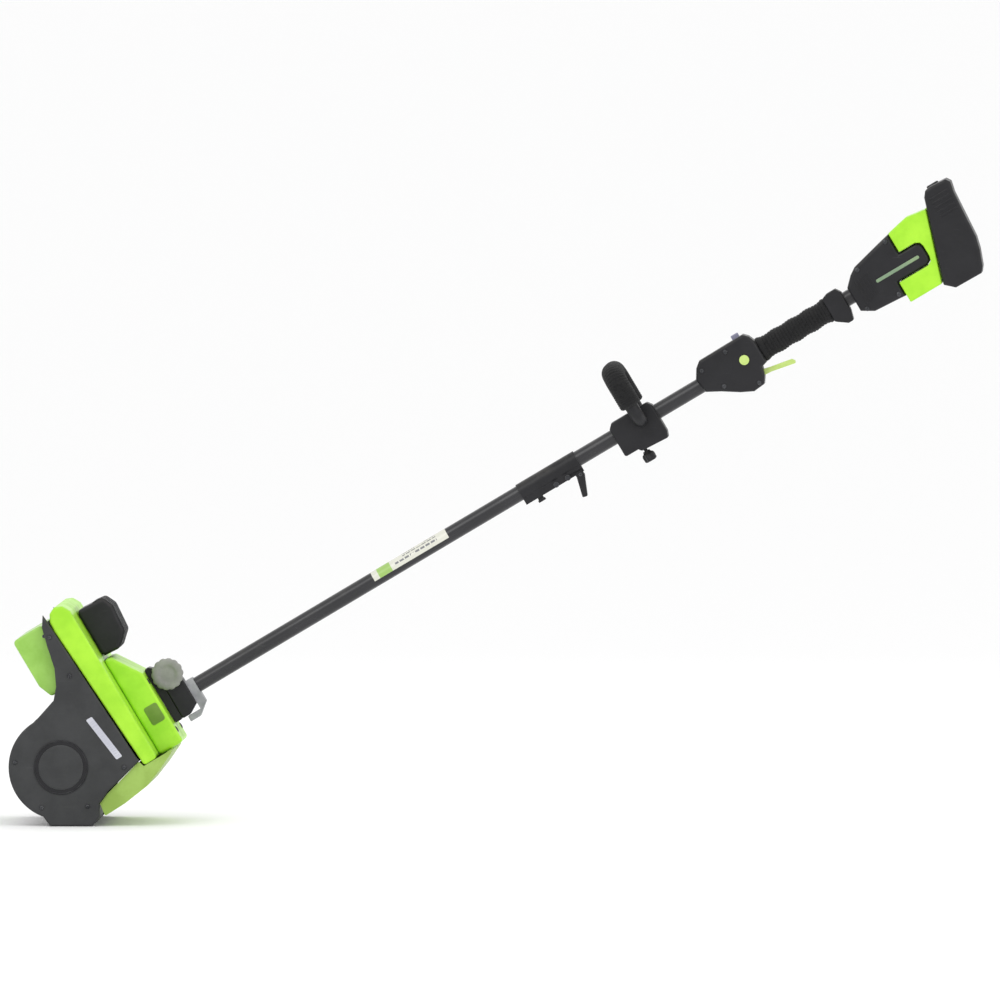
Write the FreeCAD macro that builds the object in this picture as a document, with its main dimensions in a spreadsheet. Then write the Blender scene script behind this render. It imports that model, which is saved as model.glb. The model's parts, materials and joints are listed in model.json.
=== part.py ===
import FreeCAD, Part
import math
import os
import re
import string
import Sketcher

Vector = FreeCAD.Vector
Rotation = FreeCAD.Rotation
Placement = FreeCAD.Placement

# A pole-mounted rotor head: a belt-driven paddle rotor in a wide housing, on a two-piece pole
# with a drive shaft inside it, a loop handle, a trigger housing and a battery power unit.
#
# Two frames are used. In the ground frame X runs rearwards, Y to the machine's right, Z up, with
# its zero on the rotor's axis. The pole frame has the same zero and turns about Y so that its X
# runs up the pole: "along" the pole, "across" it, and "up" away from it.
# The part's origin is on the ground, in the middle of the scraper bar's flat foot.

doc = FreeCAD.newDocument("rotor_head_tool")
sheet = doc.addObject("Spreadsheet::Sheet", "sizes")

SIZES = [
    ("pole_angle", 30.8, "slope of the pole above the ground, degrees"),
    ("rotor_height", 95, "rotor axis above the ground"),
    ("rotor_setback", 40, "rotor axis in front of the scraper bar"),
    ("running_gap", 0.05, "radial clearance of a shaft or sliding tube in its bore"),
    ("free_gap", 0.5, "clearance between pieces that pass each other"),
    # head
    ("head_half_width", 152, "centre plane to the outside of a side cover"),
    ("cover_depth", 16, "side cover, outside face to plate"),
    ("cover_wall", 2.5, "side cover wall"),
    ("cover_round", 3, "rounding of the side covers' outer edges"),
    ("plate_thickness", 3, "side plate"),
    ("cover_margin", 13, "cover edge outside the paddle tips"),
    ("rotor_radius", 72, "paddle tips"),
    ("paddle_thickness", 5, "rubber paddle"),
    ("drum_radius", 20, "rotor drum, outside"),
    ("drum_wall", 3, "rotor drum wall"),
    ("rotor_shaft_radius", 6, "rotor shaft"),
    ("rotor_side_gap", 6, "drum end to side plate"),
    ("rotor_bearing_radius", 13, "rotor bearing, outside"),
    ("rotor_bearing_width", 5, "rotor bearing"),
    ("liner_gap", 4, "paddle tips to liner"),
    ("liner_thickness", 2, "liner sheet"),
    ("liner_height", 40, "where the liner leans back, above the pole axis"),
    ("liner_lean", 25, "how far the liner's top leans back"),
    ("liner_top", 214, "top of the liner above the pole axis"),
    ("scraper_reach", 55, "start of the liner below the horizontal, degrees"),
    ("hub_cap_radius", 44, "round cap on the side cover"),
    ("hub_ring_radius", 36, "inside of the cap's groove"),
    ("hub_cap_height", 2.2, "cap standing proud of the cover"),
    ("hub_groove_depth", 1.2, "groove in the cap"),
    ("badge_height", 0.8, "plain badge standing proud"),
    # gears and belt
    ("case_gap", 0.5, "liner to gear case"),
    ("case_wall", 3, "gear case wall"),
    ("gear_clearance", 1, "gear tips to gear case"),
    ("crown_pitch_radius", 13.5, "crown gear at its outer pitch circle"),
    ("pinion_pitch_radius", 9, "pinion at its outer pitch circle"),
    ("crown_teeth", 15, "teeth on the crown gear"),
    ("pinion_teeth", 10, "teeth on the pinion"),
    ("tooth_face", 7, "length of a tooth along the pitch cone"),
    ("tooth_height", 1.0, "tooth above the pitch cone"),
    ("tooth_depth", 1.5, "tooth below the pitch cone"),
    ("tooth_share", 0.34, "tooth thickness as a share of the pitch"),
    ("cross_shaft_radius", 4, "cross shaft"),
    ("drive_shaft_radius", 4, "drive shafts in the pole"),
    ("shaft_bearing_radius", 9.5, "small bearings, outside"),
    ("shaft_bearing_width", 6, "small bearings"),
    ("small_pulley_radius", 9, "belt seat of the small pulley"),
    ("large_pulley_radius", 30, "belt seat of the large pulley"),
    ("pulley_width", 9, "both pulleys"),
    ("pulley_flange", 1.5, "pulley rim above the belt seat"),
    ("belt_width", 7, "drive belt"),
    ("belt_thickness", 2, "drive belt"),
    ("belt_gap", 0.3, "belt to pulley"),
    ("pulley_gap", 1.5, "pulleys to the side plate"),
    ("case_half_height", 19, "gear case above and below the pole axis"),
    ("case_rear", 31, "gear case behind the cross shaft"),
    ("case_right", 20, "gear case right of the centre plane"),
    ("case_left", 26, "gear case left of the centre plane"),
    ("neck_radius", 17, "gear case neck round the pole"),
    # hood
    ("hood_offset", 7, "cross shaft to the hood's front edge"),
    ("hood_depth", 38, "hood, front edge to rear face"),
    ("hood_half_width", 148, "centre plane to the hood's end"),
    ("hood_wall", 2.5, "hood and fairing walls"),
    ("hood_round", 6, "rounding of the hood's corners"),
    ("hood_edge_round", 4, "rounding of the hood's side edges"),
    ("fairing_depth", 44, "fairing behind the hood"),
    ("fairing_half_width", 74, "centre plane to the fairing's side"),
    ("fairing_round", 6, "rounding of the fairing's corners"),
    ("fairing_edge_round", 5, "rounding of the fairing's side edges"),
    ("vent_half_width", 52, "centre plane to the vent cap's side"),
    ("vent_round", 8, "rounding of the vent cap"),
    ("vent_edge_round", 6, "rounding of the vent cap's side edges"),
    ("vent_wall", 2.5, "vent cap wall"),
    ("vent_slot_pitch", 13, "vent slots"),
    ("vent_slot_half_width", 2, "vent slots"),
    ("vent_slot_front", 14, "hood's rear face to the start of a vent slot"),
    ("vent_slot_bottom", 132, "vent slots above the pole axis"),
    ("vent_slot_top", 188, "vent slots above the pole axis"),
    ("panel_half_width", 146, "centre plane to the lower rear panel's end"),
    ("flap_gap", 3, "deflector to side plate"),
    ("flap_wall", 2.5, "deflector wall"),
    ("flap_round", 7, "rounding of the deflector's corners"),
    ("flap_edge_round", 4, "rounding of the deflector's side edges"),
    ("flap_pivot_forward", 20, "deflector pivot in front of the hood's front edge"),
    ("flap_pivot_up", 196, "deflector pivot above the pole axis"),
    ("flap_pin_radius", 3, "deflector pivot pins"),
    # pole clamp
    ("collar_thickness", 13, "collar plate behind the fairing"),
    ("collar_half_width", 21.5, "centre plane to the collar plate's side"),
    ("clamp_length", 33, "pole clamp along the pole"),
    ("clamp_half_width", 22, "centre plane to the pole clamp's side"),
    ("clamp_round", 4, "rounding of the pole clamp's corners"),
    ("clamp_edge_round", 3, "rounding of the side edges of small clamps"),
    ("clamp_slit", 3, "slit in the pole clamp"),
    ("clamp_bolt_spare", 8, "clamp bolt outside the clamp"),
    ("clamp_nut_length", 7, "nut on the clamp bolt"),
    ("saddle_half_width", 16, "centre plane to the saddle's side"),
    ("knob_radius", 26, "clamp knob"),
    ("knob_thickness", 15, "clamp knob"),
    ("knob_up", 40, "clamp knob above the pole axis"),
    ("knob_bolt_radius", 4, "clamp bolt"),
    ("saddle_length", 14, "tube saddle behind the clamp"),
    # pole
    ("tube_radius", 12.7, "both pole tubes, outside"),
    ("tube_wall", 1.5, "both pole tubes"),
    ("tube_socket", 26, "lower tube inside the gear case neck"),
    ("lower_tube_length", 704, "lower tube"),
    ("upper_tube_length", 600, "upper tube"),
    ("tube_joint_gap", 2, "between the two tubes in the coupler"),
    ("bush_length", 10, "bush that carries the drive shaft"),
    ("bush_spacing", 190, "from bush to bush"),
    ("bush_start", 140, "lower tube's end to the first bush"),
    ("sleeve_radius", 6.5, "sleeve on the lower shaft's end"),
    ("sleeve_length", 22, "sleeve on the lower shaft's end"),
    ("label_start", 375, "lower tube's front end to the label"),
    ("label_length", 140, "label along the pole"),
    ("label_thickness", 0.3, "label"),
    ("coupler_overlap", 54, "lower tube inside the coupler"),
    ("coupler_length", 108, "coupler"),
    ("coupler_radius", 14.8, "coupler barrel"),
    ("coupler_drop", 22, "coupler block below the pole axis"),
    ("coupler_block_half", 10, "centre plane to the coupler block's side"),
    ("release_along", 25, "coupler's front end to the release button"),
    ("release_radius", 5, "release button"),
    ("release_drop", 30, "release button's end below the pole axis"),
    ("release_travel", 3, "release button"),
    ("lever_back", 8, "coupler's rear end to the lever's pivot"),
    ("lever_drop", 24, "lever pivot below the pole axis"),
    ("lever_half_width", 8, "clamp lever"),
    ("lug_half_width", 4, "lug that carries the clamp lever"),
    ("lever_pin_radius", 2.5, "clamp lever pin"),
    ("coupler_bolt_radius", 2.5, "coupler bolts"),
    ("coupler_bolt_drop", 18.5, "coupler bolts below the pole axis"),
    ("coupler_bolt_head", 3, "height of a coupler bolt's head"),
    # loop handle
    ("handle_offset", 162, "upper tube's front end to the handle's middle"),
    ("handle_half_width", 22, "handle clamp"),
    ("loop_ahead", 12, "handle's middle to the loop's plane"),
    ("loop_half_width", 58, "loop, centre plane to the bar's centre line"),
    ("loop_top", 90, "loop's top centre line above the pole axis"),
    ("loop_bottom", 2, "loop's bottom centre line above the pole axis"),
    ("loop_corner", 26, "loop's corner radius"),
    ("loop_bar_radius", 11, "loop's bar"),
    ("loop_grip_radius", 18, "foam grip on the loop"),
    ("loop_grip_start", 29, "lower end of the foam grip above the pole axis"),
    ("handle_knob_radius", 9, "knob under the handle clamp"),
    ("handle_knob_ahead", -7, "knob from the handle's middle"),
    ("handle_knob_top", -45.5, "top of the knob's head above the pole axis"),
    ("handle_knob_bottom", -64, "bottom of the knob"),
    ("handle_stud_radius", 3, "knob's threaded stud"),
    ("handle_stud_top", -18, "end of the stud"),
    # control
    ("grip_back", 46, "motor housing's front to the grip's rear end"),
    ("grip_length", 128, "rear grip"),
    ("grip_radius", 19.5, "rear grip"),
    ("collar_length", 32, "flared collar behind the grip"),
    ("grip_collar_half_width", 21, "flared collar"),
    ("control_half_width", 26, "trigger housing"),
    ("control_wall", 3, "trigger housing"),
    ("control_round", 5, "rounding of the trigger housing"),
    ("trigger_back", 22, "trigger pivot in front of the grip"),
    ("trigger_drop", 33, "trigger pivot below the pole axis"),
    ("trigger_half_width", 6, "trigger"),
    ("trigger_slot", 7, "half the width of the trigger's slot"),
    ("trigger_pin_radius", 2.5, "trigger pin"),
    ("lock_back", 30, "lock-off button in front of the grip"),
    ("lock_radius", 8, "lock-off button"),
    ("lock_proud", 3, "lock-off button outside the housing"),
    ("lock_length", 11, "lock-off button"),
    ("button_gap", 0.3, "button to its opening"),
    ("switch_back", 31, "top switch in front of the grip"),
    ("switch_length", 13, "top switch"),
    ("switch_half_width", 5, "top switch"),
    ("switch_top", 44, "top switch above the pole axis"),
    ("switch_bottom", 31, "bottom of the top switch"),
    ("switch_travel", 4, "top switch"),
    # power unit
    ("housing_insertion", 28, "upper tube inside the motor housing"),
    ("housing_half_width", 36, "motor housing"),
    ("housing_wall", 3, "motor housing and battery mount"),
    ("housing_round", 6, "rounding of the motor housing"),
    ("mount_half_width", 39, "battery mount"),
    ("stator_front", 40, "housing front to stator"),
    ("stator_length", 31, "stator"),
    ("stator_radius", 27, "stator, outside"),
    ("motor_rotor_radius", 15, "motor rotor"),
    ("motor_gap", 0.5, "motor rotor to stator"),
    ("fan_front", 29, "housing front to fan"),
    ("fan_length", 8, "fan"),
    ("fan_radius", 23, "fan"),
    ("fan_blades", 9, "blades on the fan"),
    ("board_front", 148, "housing front to the control board"),
    ("board_half_width", 28, "control board"),
    ("board_bottom", 2, "control board above the pole axis"),
    ("board_top", 48, "control board above the pole axis"),
    ("board_thickness", 2, "control board"),
    ("fan_hub_radius", 9, "fan"),
    ("fan_blade_thickness", 1.6, "fan"),
    ("battery_half_width", 43, "battery pack"),
    ("battery_round", 5, "rounding of the battery pack"),
    ("rail_across", 22, "centre plane to a battery rail"),
    ("rail_half_width", 3, "battery rail"),
    ("rail_height", 4, "battery rail"),
    ("latch_half_width", 14, "battery latch"),
    ("latch_travel", 3, "battery latch"),
    ("screw_radius", 1.6, "housing screws"),
    ("screw_head_radius", 3.4, "housing screws"),
    ("screw_head_height", 1.4, "housing screws"),
    ("screw_length", 9, "housing screws"),
]

# Corners of the side outlines: (along, up), each measured from the place that its piece names.
OUTLINES = {
    "arm_front": [(-28, 76), (45, 99), (60, 116), (73, 143), (81, 179), (89, 209), (100, 226)],
    "arm_rear": [(-2, 201), (9, -50), (11, -55)],
    "arm_foot": [(15, -80)],
    "foot": [(50, -95), (62, -80), (62, -45), (30, -30), (-50, -50), (-18, -95)],
    "scraper": [(-10, 0), (10, 0), (17, 31), (9, 33)],
    "hood": [(13, -66), (-1, 192), (0, 210), (7, 223), (19, 228), (31, 223), (38, 210), (38, -66)],
    "fairing": [(0, -66), (44, -66), (44, 62), (13, 110), (0, 114)],
    "panel": [(24, -82.4), (32, -79.6), (41, -75.4), (113, -56.2), (116, -66.6), (182, -66.6), (165, -71),
              (135, -85), (104, -97), (59, -103), (21, -104)],
    "vent": [(0, 118), (30, 116), (52, 136), (56, 182), (48, 200), (0, 203)],
    "flap": [(44, 106), (80, 106), (94, 196), (88, 214), (35, 214), (35, 130)],
    "badge": [(-20, -35), (-9, -35), (-19, 45), (-30, 45)],
    "collar": [(1, -35), (14, -35), (14, 60), (8, 65), (1, 65)],
    "clamp": [(0, -35), (14, -35), (33, -24), (33, 20), (28, 54), (6, 54), (0, 20)],
    "saddle": [(-24, -46), (-6, -46), (14, -30), (14, 15), (0, 15), (0, -36), (-24, -36)],
    "lug": [(-8, -16), (6, -16), (6, -24), (2, -29), (-2, -29), (-8, -24)],
    "lever": [(-6, 5), (5, 5), (6, -3), (-8, -36), (-16, -34)],
    "handle": [(-40, -37), (-40, 14), (-32, 22), (34, 22), (40, 14), (40, -34), (36, -45), (-12, -42),
               (-16, -37)],
    "control": [(-114, 12), (-104, 28), (-94, 36), (-12, 37), (-5, 30), (0, 18), (0, -21), (-10, -24),
                (-14, -38), (-22, -50), (-42, -52), (-62, -42), (-88, -25), (-110, -13)],
    "trigger": [(-6, -4), (6, -5), (20, -6), (60, -14), (62, -10), (58, -5), (20, 2), (4, 6), (-6, 6)],
    "trigger_mouth": [(-9, -14), (22, -14), (22, 10), (-9, 10)],
    "collar_flare": [(0, 20), (10, 24), (26, 24), (32, 15), (32, -17), (27, -35), (18, -35), (0, -22)],
    "housing": [(-1, -28), (-1, 15), (4, 20), (14, 30), (26, 38), (54, 45), (74, 50), (100, 56), (100, 21),
                (130, 21), (137, 17), (139, 10), (139, -8), (137, -15), (130, -19), (75, -19), (75, -44),
                (64, -43), (19, -40)],
    "mount": [(101, 57), (129, 63), (139, 65), (174, 60), (135, -57), (76, -57), (76, -20), (130.4, -20),
              (137.8, -15.8), (140, -8.2), (140, 10.2), (137.8, 17.8), (130.4, 22), (101, 22)],
    "battery": [(136, -60), (151, -74), (199, -75), (206, -66), (216, -40), (221, -20), (224, 20), (227, 60),
                (231, 78), (226, 86), (199, 88), (188, 86), (181, 77)],
    "seam": [(134.5, -60), (176, 66)],
    "latch": [(192, 78), (212, 78), (212, 90), (192, 90)],
    "latch_room": [(191.5, 74), (212.5, 74), (212.5, 95), (191.5, 95)],
}

aliases = set()


def write_cell(alias, value, note):
    """Write one named size to the next row of the sheet."""
    aliases.add(alias)
    row = len(aliases)
    sheet.set(f"A{row}", note)
    sheet.set(f"B{row}", str(value))
    sheet.setAlias(f"B{row}", alias)


for alias, value, note in SIZES:
    write_cell(alias, value, note)
for name, points in OUTLINES.items():
    for letter, (along, up) in zip(string.ascii_lowercase, points):
        write_cell(f"{name}_{letter}_along", along, f"{name} outline, corner {letter}")
        write_cell(f"{name}_{letter}_up", up, f"{name} outline, corner {letter}")
doc.recompute()


def linked(text):
    """The expression with each named size pointed at the sheet."""
    return re.sub(r"[a-z]\w*", lambda word: "sizes." + word[0] if word[0] in aliases else word[0], str(text))


def number(text):
    """The expression's value now."""
    result = sheet.evalExpression(linked(text))
    return float(getattr(result, "Value", result))


def bind(item, prop, text):
    item.setExpression(prop, linked(text))


# Places that several pieces share, all worked out from the sizes.
round_radius = "(rotor_radius + cover_margin)"
liner_radius = "(rotor_radius + liner_gap)"
plate_outside = "(head_half_width - cover_depth)"
plate_inside = "(head_half_width - cover_depth - plate_thickness)"
drum_end = "(head_half_width - cover_depth - plate_thickness - rotor_side_gap)"
crown_tip = "(crown_pitch_radius + tooth_height)"
case_front = "(rotor_radius + liner_gap + liner_thickness + case_gap)"
cross_along = f"({case_front} + case_wall + gear_clearance + {crown_tip})"
hood_front = f"({cross_along} + hood_offset)"
hood_rear = f"({hood_front} + hood_depth)"
fairing_rear = f"({hood_rear} + fairing_depth)"
clamp_front = f"({fairing_rear} + collar_thickness + 1)"
clamp_rear = f"({clamp_front} + clamp_length)"
lower_start = f"({clamp_rear} - tube_socket)"
lower_end = f"({lower_start} + lower_tube_length)"
coupler_front = f"({lower_end} - coupler_overlap)"
coupler_rear = f"({coupler_front} + coupler_length)"
upper_start = f"({lower_end} + tube_joint_gap)"
upper_end = f"({upper_start} + upper_tube_length)"
housing_front = f"({upper_end} - housing_insertion)"
grip_rear = f"({housing_front} - grip_back)"
grip_front = f"({grip_rear} - grip_length)"
handle_along = f"({upper_start} + handle_offset)"
pulley_outside = f"({plate_outside} + pulley_gap + pulley_width)"
tube_bore = "(tube_radius - tube_wall)"
flap_outside = f"({plate_inside} - flap_gap)"
flap_pivot = f"({hood_front} - flap_pivot_forward)"
nose_along = f"({lower_start} - 2 - shaft_bearing_width)"

# Longer than any hollow that a cutting tool runs out of.
beyond = "200"

PLANES = {
    "side": (Rotation(Vector(1, 0, 0), 90), Vector(0, 1, 0)),
    "cross": (Rotation(Vector(0, 1, 0), Vector(0, 0, 1), Vector(1, 0, 0), "ZXY"), Vector(1, 0, 0)),
    "flat": (Rotation(), Vector(0, 0, 1)),
}
AXES = {
    "along": Rotation(Vector(0, 1, 0), 90),
    "across": Rotation(Vector(1, 0, 0), -90),
    "up": Rotation(),
}
pieces = []
unit_fasteners = []


def add(kind, name):
    return doc.addObject(kind, name)


def corners(name, along="0", up="0"):
    """The outline's corners as expressions, measured from (along, up)."""
    letters = string.ascii_lowercase[:len(OUTLINES[name])]
    return [(f"{along} + {name}_{letter}_along", f"{up} + {name}_{letter}_up") for letter in letters]


def draw_polygon(sketch, outline):
    """A closed polygon with each corner bound to its two expressions."""
    places = [Vector(number(x), number(y), 0) for x, y in outline]
    count = len(places)
    for index, start in enumerate(places):
        sketch.addGeometry(Part.LineSegment(start, places[(index + 1) % count]), False)
    for index, (x, y) in enumerate(outline):
        sketch.addConstraint(Sketcher.Constraint("Coincident", index, 2, (index + 1) % count, 1))
        for kind, text, value in (("DistanceX", x, places[index].x), ("DistanceY", y, places[index].y)):
            row = sketch.addConstraint(Sketcher.Constraint(kind, -1, 1, index, 1, value))
            bind(sketch, f"Constraints[{row}]", text)


def offset(source, distance, join):
    """The source outline moved outwards by distance."""
    moved = add("Part::Offset2D", "offset")
    moved.Source = source
    moved.Join = join
    bind(moved, "Value", distance)
    return moved


def prism(outline, start, end, plane="side", inset="0", rounding="0", along="0", up="0", tilted=False):
    """The outline carried from start to end across its plane, inset and rounded if asked."""
    rotation, direction = PLANES[plane]
    profile = add("Sketcher::SketchObject", "outline")
    profile.Placement = Placement(Vector(), rotation)
    draw_polygon(profile, outline)
    if number(f"{inset} + {rounding}") != 0:
        join = "Intersection"
        profile = offset(profile, f"-({inset}) - ({rounding})", join)
    if number(rounding) > 0:
        profile = offset(profile, rounding, "Arc")
    solid = add("Part::Extrusion", "prism")
    solid.Base = profile
    solid.DirMode = "Custom"
    solid.Dir = direction
    solid.Solid = True
    bind(solid, "LengthFwd", end)
    bind(solid, "LengthRev", f"-({start})")
    if tilted:
        solid.Placement = Placement(Vector(), Rotation(Vector(0, -1, 0), number("pole_angle")))
        bind(solid, "Placement.Rotation.Angle", "pole_angle * 1 deg")
    bind(solid, "Placement.Base.x", along)
    bind(solid, "Placement.Base.z", up)
    return solid


def cylinder(axis, centre, radius, length):
    """A cylinder that starts at centre and runs along its axis."""
    solid = add("Part::Cylinder", "cylinder")
    bind(solid, "Radius", radius)
    bind(solid, "Height", length)
    solid.Placement = Placement(Vector(), AXES[axis])
    for letter, text in zip("xyz", centre):
        bind(solid, "Placement.Base." + letter, text)
    return solid


def box(low, high):
    """A box from its low corner to its high corner."""
    solid = add("Part::Box", "box")
    for letter, side, first, last in zip("xyz", ("Length", "Width", "Height"), low, high):
        bind(solid, side, f"({last}) - ({first})")
        bind(solid, "Placement.Base." + letter, first)
    return solid


def fuse(*solids):
    joined = add("Part::MultiFuse", "fuse")
    joined.Shapes = list(solids)
    return joined


def cut(base, *tools):
    removed = tools[0] if len(tools) == 1 else fuse(*tools)
    result = add("Part::Cut", "cut")
    result.Base = base
    result.Tool = removed
    return result


def common(first, second):
    result = add("Part::Common", "common")
    result.Base = first
    result.Tool = second
    return result


def group(*solids):
    """Separate solids that share one node."""
    held = add("Part::Compound", "group")
    held.Links = list(solids)
    return held


def rounded(base, radius, chosen):
    """Fillet the edges that chosen(edge) picks."""
    doc.recompute()
    size = number(radius)
    edges = [index for index, edge in enumerate(base.Shape.Edges, start=1) if chosen(edge)]
    result = add("Part::Fillet", "rounded")
    result.Base = base
    result.Edges = [(index, size, size) for index in edges]
    return result


def on_face(axis, place):
    """Picks the edges that lie in the plane where the axis has this value."""
    level = number(place)

    def picks(edge):
        low = getattr(edge.BoundBox, axis + "Min")
        high = getattr(edge.BoundBox, axis + "Max")
        return abs(low - level) < 0.01 and abs(high - level) < 0.01
    return picks


def on_both_sides(half_width):
    """Picks the edges of the two side faces of a form that is centred on the centre plane."""
    left = on_face("Y", f"-{half_width}")
    right = on_face("Y", half_width)
    return lambda edge: left(edge) or right(edge)


def ring(axis, centre, outer, inner, length):
    """A tube with open ends."""
    return cut(cylinder(axis, centre, outer, length), cylinder(axis, centre, inner, length))


def place(piece, frame, centre=("0", "0", "0")):
    """Put a piece in its frame, with its own zero at centre."""
    along, across, up = centre
    if frame == "pole":
        piece.Placement = Placement(Vector(), Rotation(Vector(0, -1, 0), number("pole_angle")))
        bind(piece, "Placement.Rotation.Angle", "pole_angle * 1 deg")
        turn = "pole_angle * 1 deg"
        bind(piece, "Placement.Base.x", f"-rotor_setback + ({along}) * cos({turn}) - ({up}) * sin({turn})")
        bind(piece, "Placement.Base.z", f"rotor_height + ({along}) * sin({turn}) + ({up}) * cos({turn})")
    else:
        bind(piece, "Placement.Base.x", f"-rotor_setback + ({along})")
        bind(piece, "Placement.Base.z", f"rotor_height + ({up})")
    bind(piece, "Placement.Base.y", across)


def finish(piece, label, frame="pole", centre=("0", "0", "0")):
    """Name a sub-part and put it in its frame."""
    place(piece, frame, centre)
    piece.Label = label
    pieces.append(piece)
    return piece


def turned(label, axis, profile, frame="pole", centre=("0", "0", "0")):
    """A body of revolution about its axis; profile holds (station, radius) corners."""
    body = add("PartDesign::Body", label)
    plane = "XY_Plane" if axis == "across" else "XZ_Plane"
    origin_plane = [item for item in body.Origin.OriginFeatures if item.Role == plane][0]
    sketch = body.newObject("Sketcher::SketchObject", label + "_profile")
    sketch.AttachmentSupport = (origin_plane, [""])
    sketch.MapMode = "FlatFace"
    outline = profile if axis == "along" else [(radius, station) for station, radius in profile]
    draw_polygon(sketch, outline)
    turn = body.newObject("PartDesign::Revolution", label + "_turn")
    turn.Profile = sketch
    turn.ReferenceAxis = (sketch, ["H_Axis" if axis == "along" else "V_Axis"])
    turn.Angle = 360
    return finish(body, label, frame, centre)


def stepped(steps, bore="0"):
    """The (station, radius) corners of a stepped shaft, from (start, end, radius) steps."""
    profile = [(steps[0][0], bore)]
    for start, end, radius in steps:
        profile += [(start, radius), (end, radius)]
    return profile + [(steps[-1][1], bore)]


# --- head: plates and covers -------------------------------------------------------------------

def side_form(start, end, inset="0", edge_round=None):
    """The side outline of the head: a disc round the rotor, an arm up the hood and a flat foot.

    Each of the three is rounded along its start face before they are joined."""
    arm = corners("arm_front") + corners("arm_rear", hood_front) + corners("arm_foot")
    forms = [
        cylinder("across", ("0", start, "0"), f"{round_radius} - ({inset})", f"({end}) - ({start})"),
        prism(arm, start, end, inset=inset, tilted=True),
        prism(corners("foot"), start, end, inset=inset),
    ]
    if edge_round:
        forms = [rounded(form, edge_round, on_face("Y", start)) for form in forms]
    return fuse(*forms)


def on_pole(along, up):
    """A point of the pole frame, given in the ground frame."""
    turn = "pole_angle * 1 deg"
    return (f"(({along}) * cos({turn}) - ({up}) * sin({turn}))",
            f"(({along}) * sin({turn}) + ({up}) * cos({turn}))")


cross_x, cross_z = on_pole(cross_along, "0")
pivot_x, pivot_z = on_pole(flap_pivot, "flap_pivot_up")

# Screws through each side cover into its plate: places in the pole frame.
COVER_SCREWS = [(-60, -40), (-60, 45), (5, -76), (88, -52), (88, 120), (92, 190)]


def side_plate(label, side):
    """A structural plate that carries the rotor's bearing, the cross shaft and a deflector pin."""
    low, high = (f"-{plate_outside}", f"-{plate_inside}") if side < 0 else (plate_inside, plate_outside)
    holes = [
        cylinder("across", ("0", low, "0"), "rotor_bearing_radius", "plate_thickness"),
        cylinder("across", (pivot_x, low, pivot_z), "flap_pin_radius", "plate_thickness"),
    ]
    if side < 0:
        holes.append(cylinder("across", (cross_x, low, cross_z), "shaft_bearing_radius", "plate_thickness"))
    for along, up in COVER_SCREWS:
        x, z = on_pole(along, up)
        holes.append(cylinder("across", (x, low, z), "screw_radius", "plate_thickness"))
    finish(cut(side_form(low, high, "cover_wall"), *holes), label, "ground")


def mirrored(source):
    """The same form on the other side of the centre plane."""
    twin = add("Part::Mirroring", "mirrored")
    twin.Source = source
    twin.Normal = Vector(0, 1, 0)
    return twin


def side_covers():
    """Two moulded shells over the side plates, open towards them."""
    low = "-head_half_width"
    high = f"-{plate_outside}"
    inside = f"({low} + cover_wall)"
    outer = side_form(low, high, edge_round="cover_round")
    hollow = side_form(inside, f"{high} + 1", "cover_wall")
    posts = []
    holes = []
    for along, up in COVER_SCREWS:
        x, z = on_pole(along, up)
        posts.append(cylinder("across", (x, inside, z), "screw_head_radius + 1", f"{high} - {inside}"))
        holes.append(cylinder("across", (x, low, z), "screw_radius", "cover_depth"))
    cover = cut(fuse(cut(outer, hollow), *posts), *holes)
    finish(group(mirrored(cover)), "right_side_cover", "ground")
    finish(group(cover), "left_side_cover", "ground")


def head_fasteners():
    """The screws of both side covers, heads outside, and the deflector's two pivot pins."""
    fasteners = []
    for along, up in COVER_SCREWS:
        x, z = on_pole(along, up)
        for side in (-1, 1):
            head = "head_half_width" if side > 0 else "-head_half_width - screw_head_height"
            shank = f"{plate_inside}" if side > 0 else "-head_half_width"
            fasteners.append(fuse(
                cylinder("across", (x, head, z), "screw_head_radius", "screw_head_height"),
                cylinder("across", (x, shank, z), "screw_radius", "cover_depth + plate_thickness")))
    inside = f"({flap_outside} - flap_wall - 1)"
    for start in (f"-{plate_outside}", inside):
        fasteners.append(cylinder("across", (pivot_x, start, pivot_z), "flap_pin_radius",
                                  f"{plate_outside} - {inside}"))
    finish(group(*fasteners), "head_fasteners", "ground")


def hub_cap():
    """The round cap over the rotor's end, with a ring groove."""
    start = "-head_half_width - hub_cap_height"
    cap = cylinder("across", ("0", start, "0"), "hub_cap_radius", "hub_cap_height")
    groove = ring("across", ("0", start, "0"), "hub_cap_radius - 2", "hub_ring_radius", "hub_groove_depth")
    finish(cut(cap, groove), "hub_cap", "ground")


def side_badge():
    """A plain badge on the left cover, parallel to the hood."""
    outline = corners("badge", hood_front)
    finish(prism(outline, "-head_half_width - badge_height", "-head_half_width", rounding="2"), "side_badge")


# --- head: hood, fairing and panels --------------------------------------------------------------

def open_shell(outline, half_width, wall, rounding, shifts, edge_round=None):
    """A hollow form; the hollow is repeated at each shift, which opens that side."""
    outer = prism(outline, f"-{half_width}", half_width, rounding=rounding)
    if edge_round:
        outer = rounded(outer, edge_round, on_both_sides(half_width))
    inner_half = f"({half_width} - {wall})"
    inner_round = f"({rounding} - {wall}) / 2"
    hollows = [prism(outline, f"-{inner_half}", inner_half, inset=wall, rounding=inner_round, along=along,
                     up=up) for along, up in shifts]
    return cut(outer, *hollows)


def hood_shell():
    """The hood across the head, open to the front, with an opening for the gear case neck."""
    shell = open_shell(corners("hood", hood_front), "hood_half_width", "hood_wall", "hood_round",
                       [("0", "0"), ("-2 * hood_wall", "0"), ("-4 * hood_wall", "0")], "hood_edge_round")
    neck = cylinder("along", (hood_front, "0", "0"), "neck_radius + free_gap", "2 * hood_depth")
    finish(cut(shell, neck), "hood_shell")


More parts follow.
